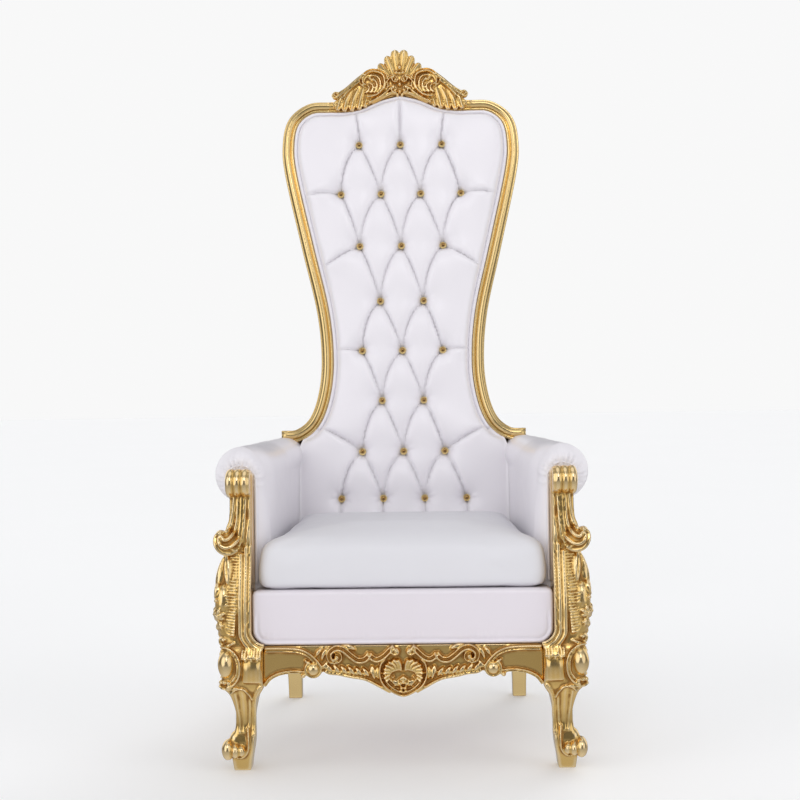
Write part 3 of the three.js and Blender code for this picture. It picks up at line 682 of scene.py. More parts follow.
def pleat_lines():
    """The folds between neighbouring buttons, and from the outer buttons to the edge."""
    lines = []
    for (s, xs), (below, nexts) in zip(BUTTON_ROWS, BUTTON_ROWS[1:]):
        for x in xs:
            for other in nexts:
                if abs(other - x) < 80:
                    lines.append(curved((x, s), (other, below), -13 if other < x else 3))
    for (x0, s0), (x1, s1) in EDGE_PLEATS:
        lines.append(curved((x0, s0), (x1, s1), 3))
        lines.append(curved((-x0, s0), (-x1, s1), -3))
    lines.append(curved((0, BUTTON_ROWS[0][0]), (0, 1250), 0))
    lowest, xs = BUTTON_ROWS[-1]
    lines += [curved((x, lowest), (x * 1.02, 20), 0) for x in xs]
    return lines


def relax(values, fixed, source, shape, rounds):
    """Solves the sheet's balance on the grid by over-relaxation, in two colours of a chessboard."""
    v, f = values.reshape(shape).copy(), fixed.reshape(shape)
    rows, columns = np.indices(shape)
    for _ in range(rounds):
        for colour in (0, 1):
            near = np.zeros(shape)
            near[1:-1, 1:-1] = (v[:-2, 1:-1] + v[2:, 1:-1] + v[1:-1, :-2] + v[1:-1, 2:] + source) / 4
            free = ~f & ((rows + columns) % 2 == colour)
            v[free] += 1.88 * (near[free] - v[free])
    return v.ravel()


def nearest_buttons(places):
    """Each place's distance from the nearest button, and where that button sits."""
    centres = np.array([(x, s) for s, xs in BUTTON_ROWS for x in xs], float)
    gaps = np.hypot(places[:, None, 0] - centres[:, 0], places[:, None, 1] - centres[:, 1])
    return np.min(gaps, axis=1), centres[np.argmin(gaps, axis=1)]


def stuffed(panel, to_button):
    """Heights of the cover: held down along the folds and at the buttons, full in between."""
    places, outside = panel.places, ~panel.inner
    fold = np.min([nearest(places, line, closed=False)[0] for line in pleat_lines()], axis=0)
    pinned = outside | (fold < BACK_CELL * 0.55) | (to_button < 7)
    dip = (PLEAT + PLEAT_RISE - DIMPLE) * np.exp(-(to_button / 17) ** 2)
    tight = PLEAT + PLEAT_RISE * (1 - np.exp(-to_button / 40)) - dip
    ground = np.where(outside, PANEL_EDGE, np.where(pinned, tight, SHEET))
    ground = relax(ground, pinned, 0.0, panel.shape, RELAX_ROUNDS)
    loft = relax(np.zeros(len(places)), pinned, BACK_CELL**2, panel.shape, RELAX_ROUNDS)
    loft = 1 - np.exp(-loft / 420)
    return ground + (PILLOW - SHEET) * loft ** 0.58


def button_creases(places, to_button, centre):
    """Short creases fan out from every button, deeper low down."""
    angle = np.arctan2(places[:, 1] - centre[:, 1], places[:, 0] - centre[:, 0])
    phase = centre[:, 0] * 0.37 + centre[:, 1] * 0.11
    fan = np.exp(-((to_button - 15) / 9) ** 2)
    creases = fan * (0.9 * np.sin(7 * angle + phase) + 0.5 * np.sin(12 * angle - 2 * phase))
    return creases * (1 + 0.9 * np.exp(-((places[:, 1] - 150) / 60) ** 2))


def turned_down(panel, height):
    """The cover turns down behind its piping at the frame, and only a little between the arms."""
    up = panel.places[:, 1]
    edge = np.interp(up, [270, 310], [30, PANEL_EDGE])
    margin = np.interp(up, [270, 310], [0, 9])
    height = np.where(panel.inner, height, edge)
    near_edge = np.exp(-np.maximum(panel.gap - margin, 0) / 5)
    return height * (1 - near_edge) + edge * near_edge


def back_piping(shell):
    """The cord between the cover and the gilt frame."""
    cord = frame_outline([(240, 60), (228, 285)], -FRAME_WIDTH / 2 - 5.5)
    cord = even_spaced(np.array([p for p in cord if p[1] > 296]), 220)
    line = np.column_stack([cord[:, 0], np.full(len(cord), -5.5), cord[:, 1]])
    forward = back_to_world(np.array([(0.0, -1, 0)])) - back_to_world(np.array([(0.0, 0, 0)]))
    tube(shell, back_to_world(line), 4.8, np.tile(forward, (len(line), 1)))


def inside_back():
    panel = Panel(frame_outline([(267.5, PANEL_FOOT), (267.5, 285)], -FRAME_WIDTH / 2 - GAP), BACK_CELL)
    places = panel.places
    to_button, centre = nearest_buttons(places)
    height = stuffed(panel, to_button) + button_creases(places, to_button, centre)
    height = turned_down(panel, np.maximum(height, DIMPLE))
    lookup = dict(zip(map(tuple, places.round(4)), height))
    shell = Shell()

    def front(flat, _):
        return -np.array([lookup[tuple(p)] for p in flat.round(4)])

    panel.solid(shell, front, [0, FRAME_DEPTH - GAP], back_to_world)
    back_piping(shell)
    thing = plain_piece("inside_back_tufted", shell)
    return finish_piece(thing, "inside_back", white)


def buttons():
    """Domed gilt buttons with a small turned rim."""
    profile = [(0.1, 0), (2.5, -4), (5.5, -7.4), (7.2, -8.4), (7.6, -9.4), (7.1, -10.3), (6.3, -10.5),
               (6.0, -11.2), (5.2, -12.8), (3.9, -14.0), (2.2, -14.8), (0.1, -15)]
    # Where the painted reflection goes: none on the rim, full on the domed middle.
    dome_painted_reflection = np.repeat([0.0] * 8 + [0.4] + [1.0] * 3, BUTTON_SIDES)
    turn = np.linspace(0, 2 * np.pi, BUTTON_SIDES, endpoint=False)
    rings = [[(BUTTON_SWELL * r * math.cos(a), n, BUTTON_SWELL * r * math.sin(a)) for a in turn]
             for r, n in profile]
    for row, (s, xs) in enumerate(BUTTON_ROWS):
        for i, x in enumerate(xs):
            shell = Shell()
            shell.loft(np.array(rings) + (x, -DIMPLE - 2 * GAP - BUTTON_STANDS, s))
            node = f"button_{row + 1}_{i + 1}"
            thing = plain_piece(node + "_turned", shell.moved(back_to_world))
            store(thing.data, "dome_painted_reflection", dome_painted_reflection)
            finish_piece(thing, node, button_gold)


# ---- Seat and arms ----
def draw_in(points):
    """The arms and side rails draw in towards the back."""
    moved = points.copy()
    moved[:, 0] -= TOE_IN * (points[:, 1] - ARM_FRONT)
    return moved


def arm_front(flat, gap):
    """The rounded front of the arm, drawn into small pleats round the knob."""
    inner = np.clip(gap / ARM_TURN, 0, 1)
    depth = ARM_FRONT + ARM_TURN * (1 - inner) ** 2.3
    x, z = flat[:, 0] - KNOB_PLACE[0], flat[:, 1] - KNOB_PLACE[1]
    radius, angle = np.hypot(x, z), np.arctan2(z, x)
    window = np.exp(-np.abs((radius - 42) / 15) ** 3) * np.clip((z + 22) / 20, 0, 1)
    folds = 1 - 2 * np.abs(np.sin(10 * angle + 1.1 * np.sin(5 * angle))) ** 0.6
    folds = folds + 0.3 * np.sin(31 * angle + 2)
    return depth - 3 * np.exp(-(radius / 60) ** 2) + 3.4 * folds * window


def arm_shape(points):
    """The arm behind its front, bent and filled out from the straight body."""
    y = points[:, 1]
    out = unit(points[:, [0, 2]] - (ARM_CENTRE, ARM_TOP - ARM_ROLL))
    # It is full, and sinks a little in long soft waves.
    wave = 0.5 * np.sin(y / 47 + 2.5 * out[:, 0]) + 0.3 * np.sin(y / 21 + 4 * out[:, 1])
    shrink = (wave - 0.8) * np.clip((y - ARM_FRONT - 10) / 40, 0, 1)
    moved = points.copy()
    moved[:, [0, 2]] += out * shrink[:, None]
    # The front's rounded edge runs on softly into the inner side.
    behind = y - ARM_FRONT - ARM_TURN
    lean = np.clip(1 + behind / ARM_TURN, 0, 1) * np.clip(1 - behind / 65, 0, 1) ** 2
    moved[:, [0, 2]] -= out * (12 * lean * np.clip(-1.3 * out[:, 0], 0, 1))[:, None]
    # Near the back the roll grows squarer, up to the foot of the gilt frame.
    square = np.clip((y - 30) / 90, 0, 1) * np.clip(-out[:, 0], 0, 1) * np.clip(out[:, 1] + 0.15, 0, 1)
    moved[:, [0, 2]] += out * (25 * square)[:, None]
    # At its rear the inner side leans over to meet the cover of the back.
    moved[:, 0] -= 5 * np.clip((y - 60) / 60, 0, 1) * np.clip(1 - (points[:, 0] - ARM_INNER) / 30, 0, 1)
    return draw_in(moved)


def arm_welt(shell, side):
    """A cord along the inner edge of the post, over the knob and down to the seat."""
    welt = [(POST_INNER - 3.5, 395), (POST_INNER - 3.5, 585)]
    welt += arc((KNOB_PLACE[0] + 1, 620), (33, 33), (172, 8), 16) + [(380, 600), (376, 586)]
    welt = even_spaced(catmull(welt, 80), 60)
    line = np.column_stack([welt[:, 0] * side, np.full(60, ARM_FRONT - 1.5), welt[:, 1]])
    tube(shell, line, 3.2, np.tile((0.0, -1.0, 0.0), (60, 1)))


def arm(name, side):
    roll = arc((ARM_CENTRE, ARM_TOP - ARM_ROLL), (ARM_ROLL, ARM_ROLL), (180, -86), 60)
    bottom = RAIL_TOP + 1
    outline = [(ARM_INNER, bottom)] + roll + [(ARM_CENTRE + 2, 545), (ARM_CENTRE + 2, bottom)]
    start = ARM_FRONT + ARM_TURN
    stations = [start + 3] + list(np.linspace(start + 10, ARM_REAR, ARM_STATIONS))
    shell = Shell()
    Panel(outline, ARM_CELL).solid(shell, arm_front, stations, lambda p: arm_shape(p) * (side, 1, 1))
    arm_welt(shell, side)
    thing = new_object(name + "_padded", *shell.merged())
    cut_behind_back(thing)
    outward(thing)
    smooth_shade(thing.data)
    return finish_piece(thing, name, white)


def cut_behind_back(thing):
    """Cuts off what would reach behind the frame of the back."""
    b = bmesh.new()
    b.from_mesh(thing.data)
    origin, normal = back_to_world(np.array([(0.0, FRAME_DEPTH, 0.0), (0.0, FRAME_DEPTH + 1, 0.0)]))
    place = (origin + (0, ORIGIN_Y, 0)) * MM
    everything = b.verts[:] + b.edges[:] + b.faces[:]
    cut = bmesh.ops.bisect_plane(
        b, geom=everything, plane_co=place, plane_no=normal - origin, clear_outer=True)
    edges = [e for e in cut["geom_cut"] if isinstance(e, bmesh.types.BMEdge)]
    bmesh.ops.contextual_create(b, geom=edges)
    b.to_mesh(thing.data)
    b.free()


def rounded_ring(x0, x1, y0, y1, corners, z, count=7):
    """A rounded rectangle at a height; corners: (front inner, front outer, rear outer, rear inner) radii."""
    ring = []
    places = [(x0, y0, 1, 1, 180), (x1, y0, -1, 1, 270), (x1, y1, -1, -1, 0), (x0, y1, 1, -1, 90)]
    for (x, y, sx, sy, start), r in zip(places, corners):
        for a in np.radians(np.linspace(start, start + 90, count)):
            ring.append((x + sx * r + r * math.cos(a), y + sy * r + r * math.sin(a), z))
    return ring


def seat_front(flat, gap):
    """The seat's padded face: a swell, gathers at head and foot, a cord round the lower edge."""
    turn, bottom = 9.0, RAIL_TOP + GAP
    inner = np.clip(gap / turn, 0, 1)
    depth = SEAT_FRONT + 3 + turn * 0.7 * (1 - np.sqrt(1 - (1 - inner) ** 2))
    x, z = flat.T
    below = np.clip((SEAT_TOP - 40 - z) / 30, 0, 1)
    cord = np.exp(-((gap - 6) / 3.0) ** 2) * 3.2 - np.exp(-((gap - 12) / 2.2) ** 2) * 2.6
    depth -= cord * below
    swell = 3.4 * np.sin(np.pi * np.clip((z - bottom) / (SEAT_TOP - bottom), 0, 1)) ** 0.6
    from_foot = np.exp(-((z - bottom - 21) / 9) ** 2)
    from_top = np.exp(-((SEAT_TOP - 8 - z) / 9) ** 2)
    bunch = np.clip(np.sin(x / 23 + 1.3 * np.sin(x / 61)), 0, 1)
    gathers = np.sin(x / 1.9 + 2 * np.sin(x / 33)) + 0.6 * np.sin(x / 3.3)
    return depth - swell + 0.5 * gathers * bunch * (from_foot + 0.7 * from_top) * (gap > 14)


def seat_base():
    shell = Shell()
    corner, edge, bottom = 34, POST_INNER - GAP, RAIL_TOP + GAP
    half = arc((edge - corner, bottom + corner), (corner, corner), (-90, 0), 18)
    half += [(edge, SEAT_TOP - 10), (edge - 3, SEAT_TOP - 3), (edge - 10, SEAT_TOP)]
    panel = Panel(half + [(-x, z) for x, z in reversed(half)], SEAT_CELL)
    panel.solid(shell, seat_front, [SEAT_FRONT + 20, ARM_FRONT - 1], lambda p: p)
    # Behind its front run the seat's body between the arms and the one between the rails.
    for z0, z1, half_width, front, rear in (
        (RAIL_TOP - 10, SEAT_TOP, ARM_INNER - 2, ARM_FRONT - 5, 105),
        (226, RAIL_TOP - 1, 302, -317, 100),
    ):
        heights = np.linspace(z0, z1, 6)
        body = np.array([rounded_ring(-half_width, half_width, front, rear, (6,) * 4, z) for z in heights])
        body[:, :, 0] -= np.sign(body[:, :, 0]) * TOE_IN * (body[:, :, 1] - ARM_FRONT)
        shell.loft(body)
    thing = plain_piece("seat_base_padded", shell)
    return finish_piece(thing, "seat_base", seat_white_painted_shade)


def cushion_outline(inset):
    rear = arc((246, 98), (22, 22), (0, 90), 10)
    rear = [(x - inset * 0.3, y - inset * 0.3) for x, y in rear]
    front = arc((288, SEAT_FRONT + 34), (30, 30), (-90, 0), 12)
    front = [(x - inset, y + inset * (0.6 if y < SEAT_FRONT + 34 else 0)) for x, y in front]
    neck = [(315 - inset, ARM_FRONT - 18), (309 - inset, ARM_FRONT + 4), (300 - inset * 0.8, ARM_FRONT + 34),
            (292 - inset * 0.6, ARM_FRONT + 72)]
    half = np.array(front + neck + [(286 - inset * 0.5, -180), (280 - inset * 0.4, -90)] + rear)
    whole = np.vstack([half, (half * (-1, 1))[::-1]])
    return even_spaced(np.vstack([whole, whole[:1]]), 241)[:-1]


def inflated(thing):
    """Blows the closed cover up as cloth; no point moves beyond CLOTH_REACH."""
    voxel_skin(thing, CUSHION_VOXEL)
    start = coordinates(thing.data)
    cloth = thing.modifiers.new("cloth", "CLOTH").settings
    cloth.use_pressure = True
    cloth.uniform_pressure_force = PRESSURE
    cloth.effector_weights.gravity = 0
    for frame_number in range(1, CLOTH_FRAMES + 1):
        bpy.context.scene.frame_set(frame_number)
    apply_modifiers(thing)
    bpy.context.scene.frame_set(1)
    moved = coordinates(thing.data) - start
    length = np.linalg.norm(moved, axis=1, keepdims=True)
    co = start + moved * np.minimum(1, CLOTH_REACH * MM / np.maximum(length, 1e-9))
    thing.data.vertices.foreach_set("co", averaged(co, neighbours(thing.data), 4).ravel())


def cushion_rings():
    """The block from its foot up: full sides, a rounded upper edge, and a crowned top."""
    base, edge = SEAT_TOP + GAP, 470
    rows = [(12, base + 1), (6, base + 3), (4, base + 10), (3, base + 20), (3, base + 34), (5, base + 52),
            (7, base + 66), (9, base + 77), (13, edge + 5), (19, edge + 10), (27, edge + 13)]
    rings = [np.column_stack([cushion_outline(i), np.full(240, float(z))]) for i, z in rows]
    for ring in rings:
        # The top rises towards the rear, where the arms and the back press on the cushion.
        back = np.clip((ring[:, 1] - SEAT_FRONT) / 320, 0, 1)
        ring[:, 2] += 15 * back * np.clip((ring[:, 2] - base) / 70, 0, 1)
    rim, centre = rings[-1], np.array((0.0, -115.0))
    for reach in np.linspace(0.95, 0.04, 22):
        flat = centre + (rim[:, :2] - centre) * reach
        crown = rim[:, 2] + (CUSHION_TOP + 1 - rim[:, 2]) * (1 - reach**2.2)
        rings.append(np.column_stack([flat, crown]))
    return np.array(rings)


def seat_cushion():
    """A soft block that rests flat in the seat; its cover is blown up as cloth."""
    shell = Shell()
    shell.loft(cushion_rings())
    thing = new_object("seat_cushion_padded", *shell.merged())
    outward(thing)
    inflated(thing)
    co = coordinates(thing.data)
    co[:, 2] = np.clip(co[:, 2], (SEAT_TOP + GAP) * MM, (CUSHION_TOP + 6) * MM)
    thing.data.vertices.foreach_set("co", co.ravel())
    smooth_shade(thing.data)
    return finish_piece(thing, "seat_cushion", cushion_matte_and_painted_shade)


def outside_back():
    outline = frame_outline([(333, PANEL_FOOT), (337, 250), (326, 312)], FRAME_WIDTH / 2 - 6)
    near, far = FRAME_DEPTH + GAP, FRAME_DEPTH + GAP + COVER_THICKNESS

    def rear(_, gap):
        rounding = 7 * (1 - np.sqrt(1 - (1 - np.clip(gap / 14, 0, 1)) ** 2))
        return far - rounding - 2.0 * np.exp(-((gap - 17) / 4) ** 2)

    shell = Shell()
    Panel(outline, REAR_CELL).solid(shell, rear, [near], back_to_world)
    thing = plain_piece("outside_back_cover", shell)
    return finish_piece(thing, "outside_back", white)


# ---- Carved crest ----
# The ground of the crest's carving, in the back's own frame; v counts up from the arch's underside.
crest_face = flat_face(-CREST_FACE, ARCH)
CREST_OUTLINE = [  # half of the board behind the carving, from its end up to the middle
    (176, -26), (172, -10), (150, 14), (128, 32), (106, 48), (92, 58), (74, 62), (62, 62), (54, 76),
    (44, 88), (32, 98), (22, 106), (10, 110), (0, 102),
]


def crest_plume(shell):
    """Three hollowed feathers each side of the middle."""
    feathers = [
        ([(4, 50), (8.5, 86), (13, 125)], 28), ([(13, 50), (23, 77), (35, 108)], 24),
        ([(22, 47), (38, 65), (56, 86)], 22),
    ]
    for path, width in feathers:
        stroke(shell, crest_face, path, width, 17, PETAL, tongue, head, 26)


def crest_scrolls(shell):
    cut = partial(stroke, shell, crest_face)
    small = arc((11, 41), (2.5, 8), (-200, 90), 10) + [(20, 51), (31, 44), (40, 30), (45, 14)]
    cut(small, 11, 16, ROLL, steps=40)
    low = arc((13, 10), (2.5, 7.5), (-120, 100), 9) + [(24, 20), (36, 10), (50, -2), (66, -12), (86, -22)]
    cut(low, 13, 16, ROLL, steps=44)
    cut([(8, 4), (24, 3), (42, -5), (58, -13), (76, -22)], 10, 12, steps=30)
    ribbon = [(88, -14), (63, -8), (44, 9), (37, 31), (41, 54), (55, 65), (77, 68), (94, 59), (103, 45),
              (102, 31), (91, 23)]
    cut(ribbon, 15, 19, ROLL, lambda t: 1 - 0.35 * t**3, lambda t: 1 - 0.25 * t, 60)
    strands = [
        [(60, 4), (53, 20), (53, 38), (60, 51), (74, 55), (86, 48)],
        [(70, 4), (63, 16), (62, 31), (69, 42), (79, 41)],
        [(80, 4), (74, 14), (73, 26), (80, 32), (88, 30)], [(92, 4), (85, 12), (83, 22), (90, 28)],
        [(98, 26), (97, 40), (88, 52), (76, 58)],
    ]
    for path in strands:
        cut(path, 10, 14, LEAF, tail, lambda t: 1 - 0.35 * t, 30)


def crest_leaves(shell):
    """The lobes that hang over the rail, and the long leaf that runs down the shoulder."""
    cut = partial(stroke, shell, crest_face)
    lobes = [
        [(97, 26), (106, -10), (112, -42)], [(111, 22), (125, -12), (131, -46)],
        [(126, 17), (144, -13), (151, -47)], [(144, 15), (161, -10), (169, -44)],
    ]
    for path in lobes:
        cut(path, 19, 18, PETAL, tongue, head, 30)
    cut([(86, 6), (91, -16), (96, -36)], 15, 15, PETAL, tongue, head, 20)
    cut([(72, -2), (80, -16), (86, -28)], 11, 12, LEAF, spindle, steps=20)
    shoulders = [
        ([(97, 57), (120, 39), (146, 17), (172, 1)], 12, 17),
        ([(104, 48), (126, 31), (150, 8), (172, -8)], 11, 18),
        ([(108, 38), (128, 22), (150, -2), (168, -20)], 10, 15),
    ]
    for path, width, height in shoulders:
        cut(path, width, height, ROUND, lambda t: 1 - 0.3 * t, steps=36)
    cut(arc((174, -2), (9, 3), (160, -170), 10), 8, 16, ROLL, steps=26)
    cut([(166, -14), (175, -24), (180, -34)], 13, 14, LEAF, spindle, steps=16)


def crest_rail():
    carving = Shell()
    crest_plume(carving)
    crest_scrolls(carving)
    crest_leaves(carving)
    beads = ((9, 62, 4.4), (71.5, 43, 4.4), (81, 47, 4), (66, 19.5, 4), (181, 0, 4), (11, 41, 4.6),
             (13, 10, 4.2), (6, -2, 4))
    for u, v, radius in beads:
        bead(carving, crest_face, u, v, radius + 1, 1.7)
    shell = carving.mirrored()
    for v, radius in ((75, 6.4), (60, 4), (27, 5.4), (8, 4.4)):
        bead(shell, crest_face, 0, v, radius + 1, 1.8)
    half = [(x, ARCH + v) for x, v in CREST_OUTLINE]
    under = [(0, ARCH + 8), (54, ARCH + 1), (110, 1216)]
    upper = half + [(-x, s) for x, s in half[-2::-1]]
    lower = [(-x, s) for x, s in under[:0:-1]] + under
    board(shell, upper + lower, -CREST_FACE - 4, 26)
    inner, outer = (offset(CREST_PATH, 60, d) for d in (-FRAME_WIDTH / 2, FRAME_WIDTH / 2))
    inner, outer = (edge[np.abs(edge[:, 0]) < 170] for edge in (inner, outer))
    board(shell, np.vstack([inner, outer[::-1]]), -CREST_FACE, FRAME_DEPTH)
    thing = remeshed("crest_carved", shell.moved(back_to_world), CREST_VOXEL)
    plain = Shell()
    run = [(FRAME_JOINT - GAP / 2, FRAME_TOP), (168, FRAME_TOP), (145, FRAME_TOP + 1)]
    for side in (1, -1):
        moulding(plain, run, 24, side)
    ends = plain_piece("crest_ends", plain.moved(back_to_world))
    store_level(ends)
    combine(thing, ends)
    return finish_piece(thing, "crest_rail", fine_gold)


def combine(thing, other):
    """Joins another object's mesh into the first."""
    with bpy.context.temp_override(active_object=thing, selected_editable_objects=[thing, other]):
        bpy.ops.object.join()


# ---- Carved front rail ----
APRON_EDGE = [  # half of the rail's lower edge, from the leg to the middle
    (BLOCK_INNER - GAP, 190), (284, 202), (268, 210), (250, 214), (228, 215), (208, 214), (190, 209),
    (166, 216), (146, 211), (119, 206), (102, 203), (69, 199), (52, 189), (38, 178), (20, 169), (0, 163),
]
apron_face = flat_face(APRON_FRONT)


def apron_scrolls(shell):
    cut = partial(stroke, shell, apron_face)
    strip = [(294, 264), (262, 264), (236, 263), (217, 260), (200, 252), (186, 239), (176, 226)]
    cut(strip, 11, 9, ROLL, steps=40)
    edge = [(296, 187), (284, 202), (268, 211), (250, 215.5), (228, 217), (207, 214)]
    cut(edge, 8, 8, ROLL, steps=36)
    cut(arc((191, 222), (17, 17), (140, 400), 24), 5, 9, steps=40)
    cut([(208, 242), (202, 232), (205, 216), (212, 206)], 6, 9, steps=24)
    swag = arc((15.5, 261), (3, 8), (-170, 70), 9) + [(27, 262), (42, 248), (56, 242), (66, 247), (72, 254)]
    cut(swag, 12.5, 15, ROLL, steps=48)
    second = [(70, 255), (80, 243), (96, 241), (111, 251), (127, 264), (143, 266.5), (156, 256),
              (154, 242), (143, 239)]
    second += arc((141, 249), (9, 4), (-60, -300), 9)
    cut(second, 13, 16, ROLL, steps=64)
    cut([(100, 262), (112, 268), (130, 272)], 10, 9, LEAF, spindle, steps=16)
    leaflets = ([(158, 268), (168, 256), (174, 240)], [(172, 266), (180, 258), (186, 248)],
                [(160, 240), (166, 230), (176, 222)])
    for path in leaflets:
        cut(path, 9, 9, LEAF, spindle, steps=20)
    cut(arc((162, 226), (6, 2), (200, -60), 8), 5, 8, steps=14)


def apron_frieze(shell):
    """A row of bold leaning leaflets over the rolled lower edge."""
    cut = partial(stroke, shell, apron_face)
    for i in range(6):
        x = 76 + 15.5 * i
        base = 205 + 0.11 * (x - 76)
        path = [(x - 4, base), (x + 3, base + 11), (x + 11, base + 20 - i % 2)]
        cut(path, 10, 11, LEAF, spindle, steps=16)
        path = [(x + 3, base + 1), (x + 8, base + 6), (x + 12, base + 9)]
        cut(path, 6, 8, LEAF, spindle, steps=12)
    lower = [(28, 172), (50, 184), (68, 194), (86, 201), (115, 206), (137, 211), (156, 213), (166, 218)]
    cut(lower, 7, 8, steps=60)
    for x in (56, 64):
        cut([(x - 4, 198), (x, 212), (x - 1, 228)], 8, 10, LEAF, spindle, steps=20)


def apron_cartouche(shell):
    """The shell in the middle: hair-like plumes parted over a basin of flowers, in a pointed rim."""
    cut = partial(stroke, shell, apron_face)
    plumes = [
        [(4, 217), (6, 232), (12, 243)], [(8, 218), (13, 234), (23, 243)],
        [(12, 218), (20, 231), (33, 238)], [(16, 217), (27, 226), (40, 231)],
        [(20, 216), (31, 220), (43, 222)], [(24, 213), (34, 214), (44, 212)],
        [(27, 208), (35, 206), (42, 201)], [(27, 202), (33, 199), (37, 193)],
    ]
    for path in plumes:
        cut(path, 9, 14, ROUND, tongue, steps=22)
    rim = [(0, 164.5), (10, 167), (24, 174), (38, 184), (47, 198), (50, 214), (47, 232), (38, 243)]
    cut(rim, 6, 12, steps=44)
    cut([(0, 172), (12, 175), (24, 182), (34, 192)], 4, 9, steps=26)
    floret(shell, apron_face, 15, 191, 9, 6)
    for u, v, radius in ((4, 181, 4.4), (6, 200, 3.4), (25, 196, 3.2), (22, 204, 2.8)):
        bead(shell, apron_face, u, v, radius, 2.2)
    cut([(60, 206), (68, 216), (66, 230)], 7, 8, LEAF, spindle, steps=14)


def front_rail():
    carving = Shell()
    apron_scrolls(carving)
    apron_frieze(carving)
    apron_cartouche(carving)
    blob(carving, (191, APRON_FRONT - 3, 222), (14, 12, 14), 12, 24)
    for u, v, radius in ((201, 236, 3.6), (183, 235, 3), (213, 208, 4), (7, 190, 3.4)):
        bead(carving, apron_face, u, v, radius + 1, 1.7)
    for u, v, radius in ((14.5, 260, 5.6), (141, 249, 5.4), (162, 226, 2.6)):
        bead(carving, apron_face, u, v, radius + 1, 1.8)
    shell = carving.mirrored()
    for v, radius in ((203, 3.4), (194, 4.4)):
        bead(shell, apron_face, 0, v, radius + 1, 1.8)
    edge = catmull(APRON_EDGE, 90)
    top = [(-BLOCK_INNER + GAP, RAIL_TOP), (BLOCK_INNER - GAP, RAIL_TOP)]
    outline = np.vstack([edge, (edge * (-1, 1))[-2::-1], top])
    board(shell, outline, APRON_FRONT, APRON_FRONT + APRON_THICKNESS)
    thing = remeshed("front_rail_carved", shell, APRON_VOXEL)
    return finish_piece(thing, "front_rail", fine_gold)


# ---- Front legs and arm posts ----
# Height, inner X, outer X, front Y, back Y, radius of the outer front corner.
LEG = [
    (0, 330, 367, -336, -298, 7), (25, 327, 370, -342, -298, 8), (60, 321, 370, -352, -303, 8),
    (94, 320, 362, -346, -308, 9), (113, 320, 361, -346, -308, 9), (130, 318, 361, -350, -305, 10),
    (158, 312, 368, -362, -296, 14), (172, 304, 374, -371, -290, 16),
    (185, BLOCK_INNER, 384, -379, BLOCK_BACK, 18), (206, BLOCK_INNER, 386, -383, BLOCK_BACK, 20),
    (236, BLOCK_INNER, 386, -384, BLOCK_BACK, 20), (262, BLOCK_INNER, 385, -380, BLOCK_BACK, 20),
    (RAIL_TOP, BLOCK_INNER + 2, 384, -376, BLOCK_BACK, 20),
]
POST = [
    (256, 318, 387, -377, ARM_BACK, 24), (283, POST_INNER, 388, -373, ARM_BACK, 28),
    (304, POST_INNER, 395, -372, ARM_BACK, 32), (325, POST_INNER, 399, -371, ARM_BACK, 34),
    (350, POST_INNER, 401, -371, ARM_BACK, 34), (372, POST_INNER, 400, -369, ARM_BACK, 34),
    (392, POST_INNER, 395, -365, ARM_BACK, 32), (412, POST_INNER, 389, -360, ARM_BACK, 28),
    (432, POST_INNER, 384, -354, ARM_BACK, 24), (455, POST_INNER, 379, -349, ARM_BACK, 20),
    (480, POST_INNER, 378, -347, ARM_BACK, 18), (505, POST_INNER, 377, -347, ARM_BACK, 16),
    (524, POST_INNER, 372, -346, ARM_BACK, 14), (545, POST_INNER, 366, -343, ARM_BACK, 12),
    (600, POST_INNER, 365, -338, ARM_BACK, 10), (636, POST_INNER, 365, -336, ARM_BACK, 10),
]


def section(rows, z):
    """The section at each height: inner X, outer X, front Y, back Y, corner radius."""
    curve = catmull(rows, len(rows) * 8)
    return [np.interp(z, curve[:, 0], curve[:, k]) for k in range(1, 6)]


def core(shell, rows, count):
    rings = []
    for z in np.linspace(rows[0][0], rows[-1][0], count):
        x0, x1, y0, y1, r = (float(v) for v in section(rows, z))
        rings.append(rounded_ring(x0, x1, y0, y1, (4, r, 5, 3), z, 8))
    shell.loft(np.array(rings))


def swollen(rows, bosses):
    """A carver's surface over a core and its rounded bosses, seen from the front: face(X, height)."""
    def front(u, v):
        _, outer, y, _, r = section(rows, v)
        d = np.clip(u - (outer - r), 0, 0.96 * r)
        depth = y + r - np.sqrt(r**2 - d**2)
        for (x, yc, z), (rx, ry, rz) in bosses:
            rest = 1 - ((u - x) / rx) ** 2 - ((v - z) / rz) ** 2
            boss = yc - ry * np.sqrt(np.maximum(rest, 0))
            depth = np.where(rest > 0, np.minimum(depth, boss), depth)
        return depth

    def face(u, v):
        u, v = np.asarray(u, float), np.asarray(v, float)
        e = 1.5  # the step over which the slope is taken
        slope_u = (front(u + e, v) - front(u - e, v)) / (2 * e)
        slope_v = (front(u, v + e) - front(u, v - e)) / (2 * e)
        normal = unit(np.stack([slope_u, -np.ones_like(u), slope_v], axis=1))
        return np.stack([u, front(u, v), v], axis=1), normal
    return face


def outer_face(rows):
    """The outer side of a core: face(Y, height)."""
    def face(u, v):
        _, outer, y, _, r = section(rows, v)
        d = np.clip(y + r - u, 0, 0.96 * r)
        reach = np.sqrt(r**2 - d**2)
        return np.stack([outer - r + reach, u, v], axis=1), unit(np.stack([reach, -d, 0 * d], axis=1))
    return face


VOLUTE = ((374, -346, 492), (25, 25, 25))
KNEE_BOSS = ((373, -369, 236), (20, 26, 31))
SHIELD = ((380, -352, 362), (20, 24, 42))


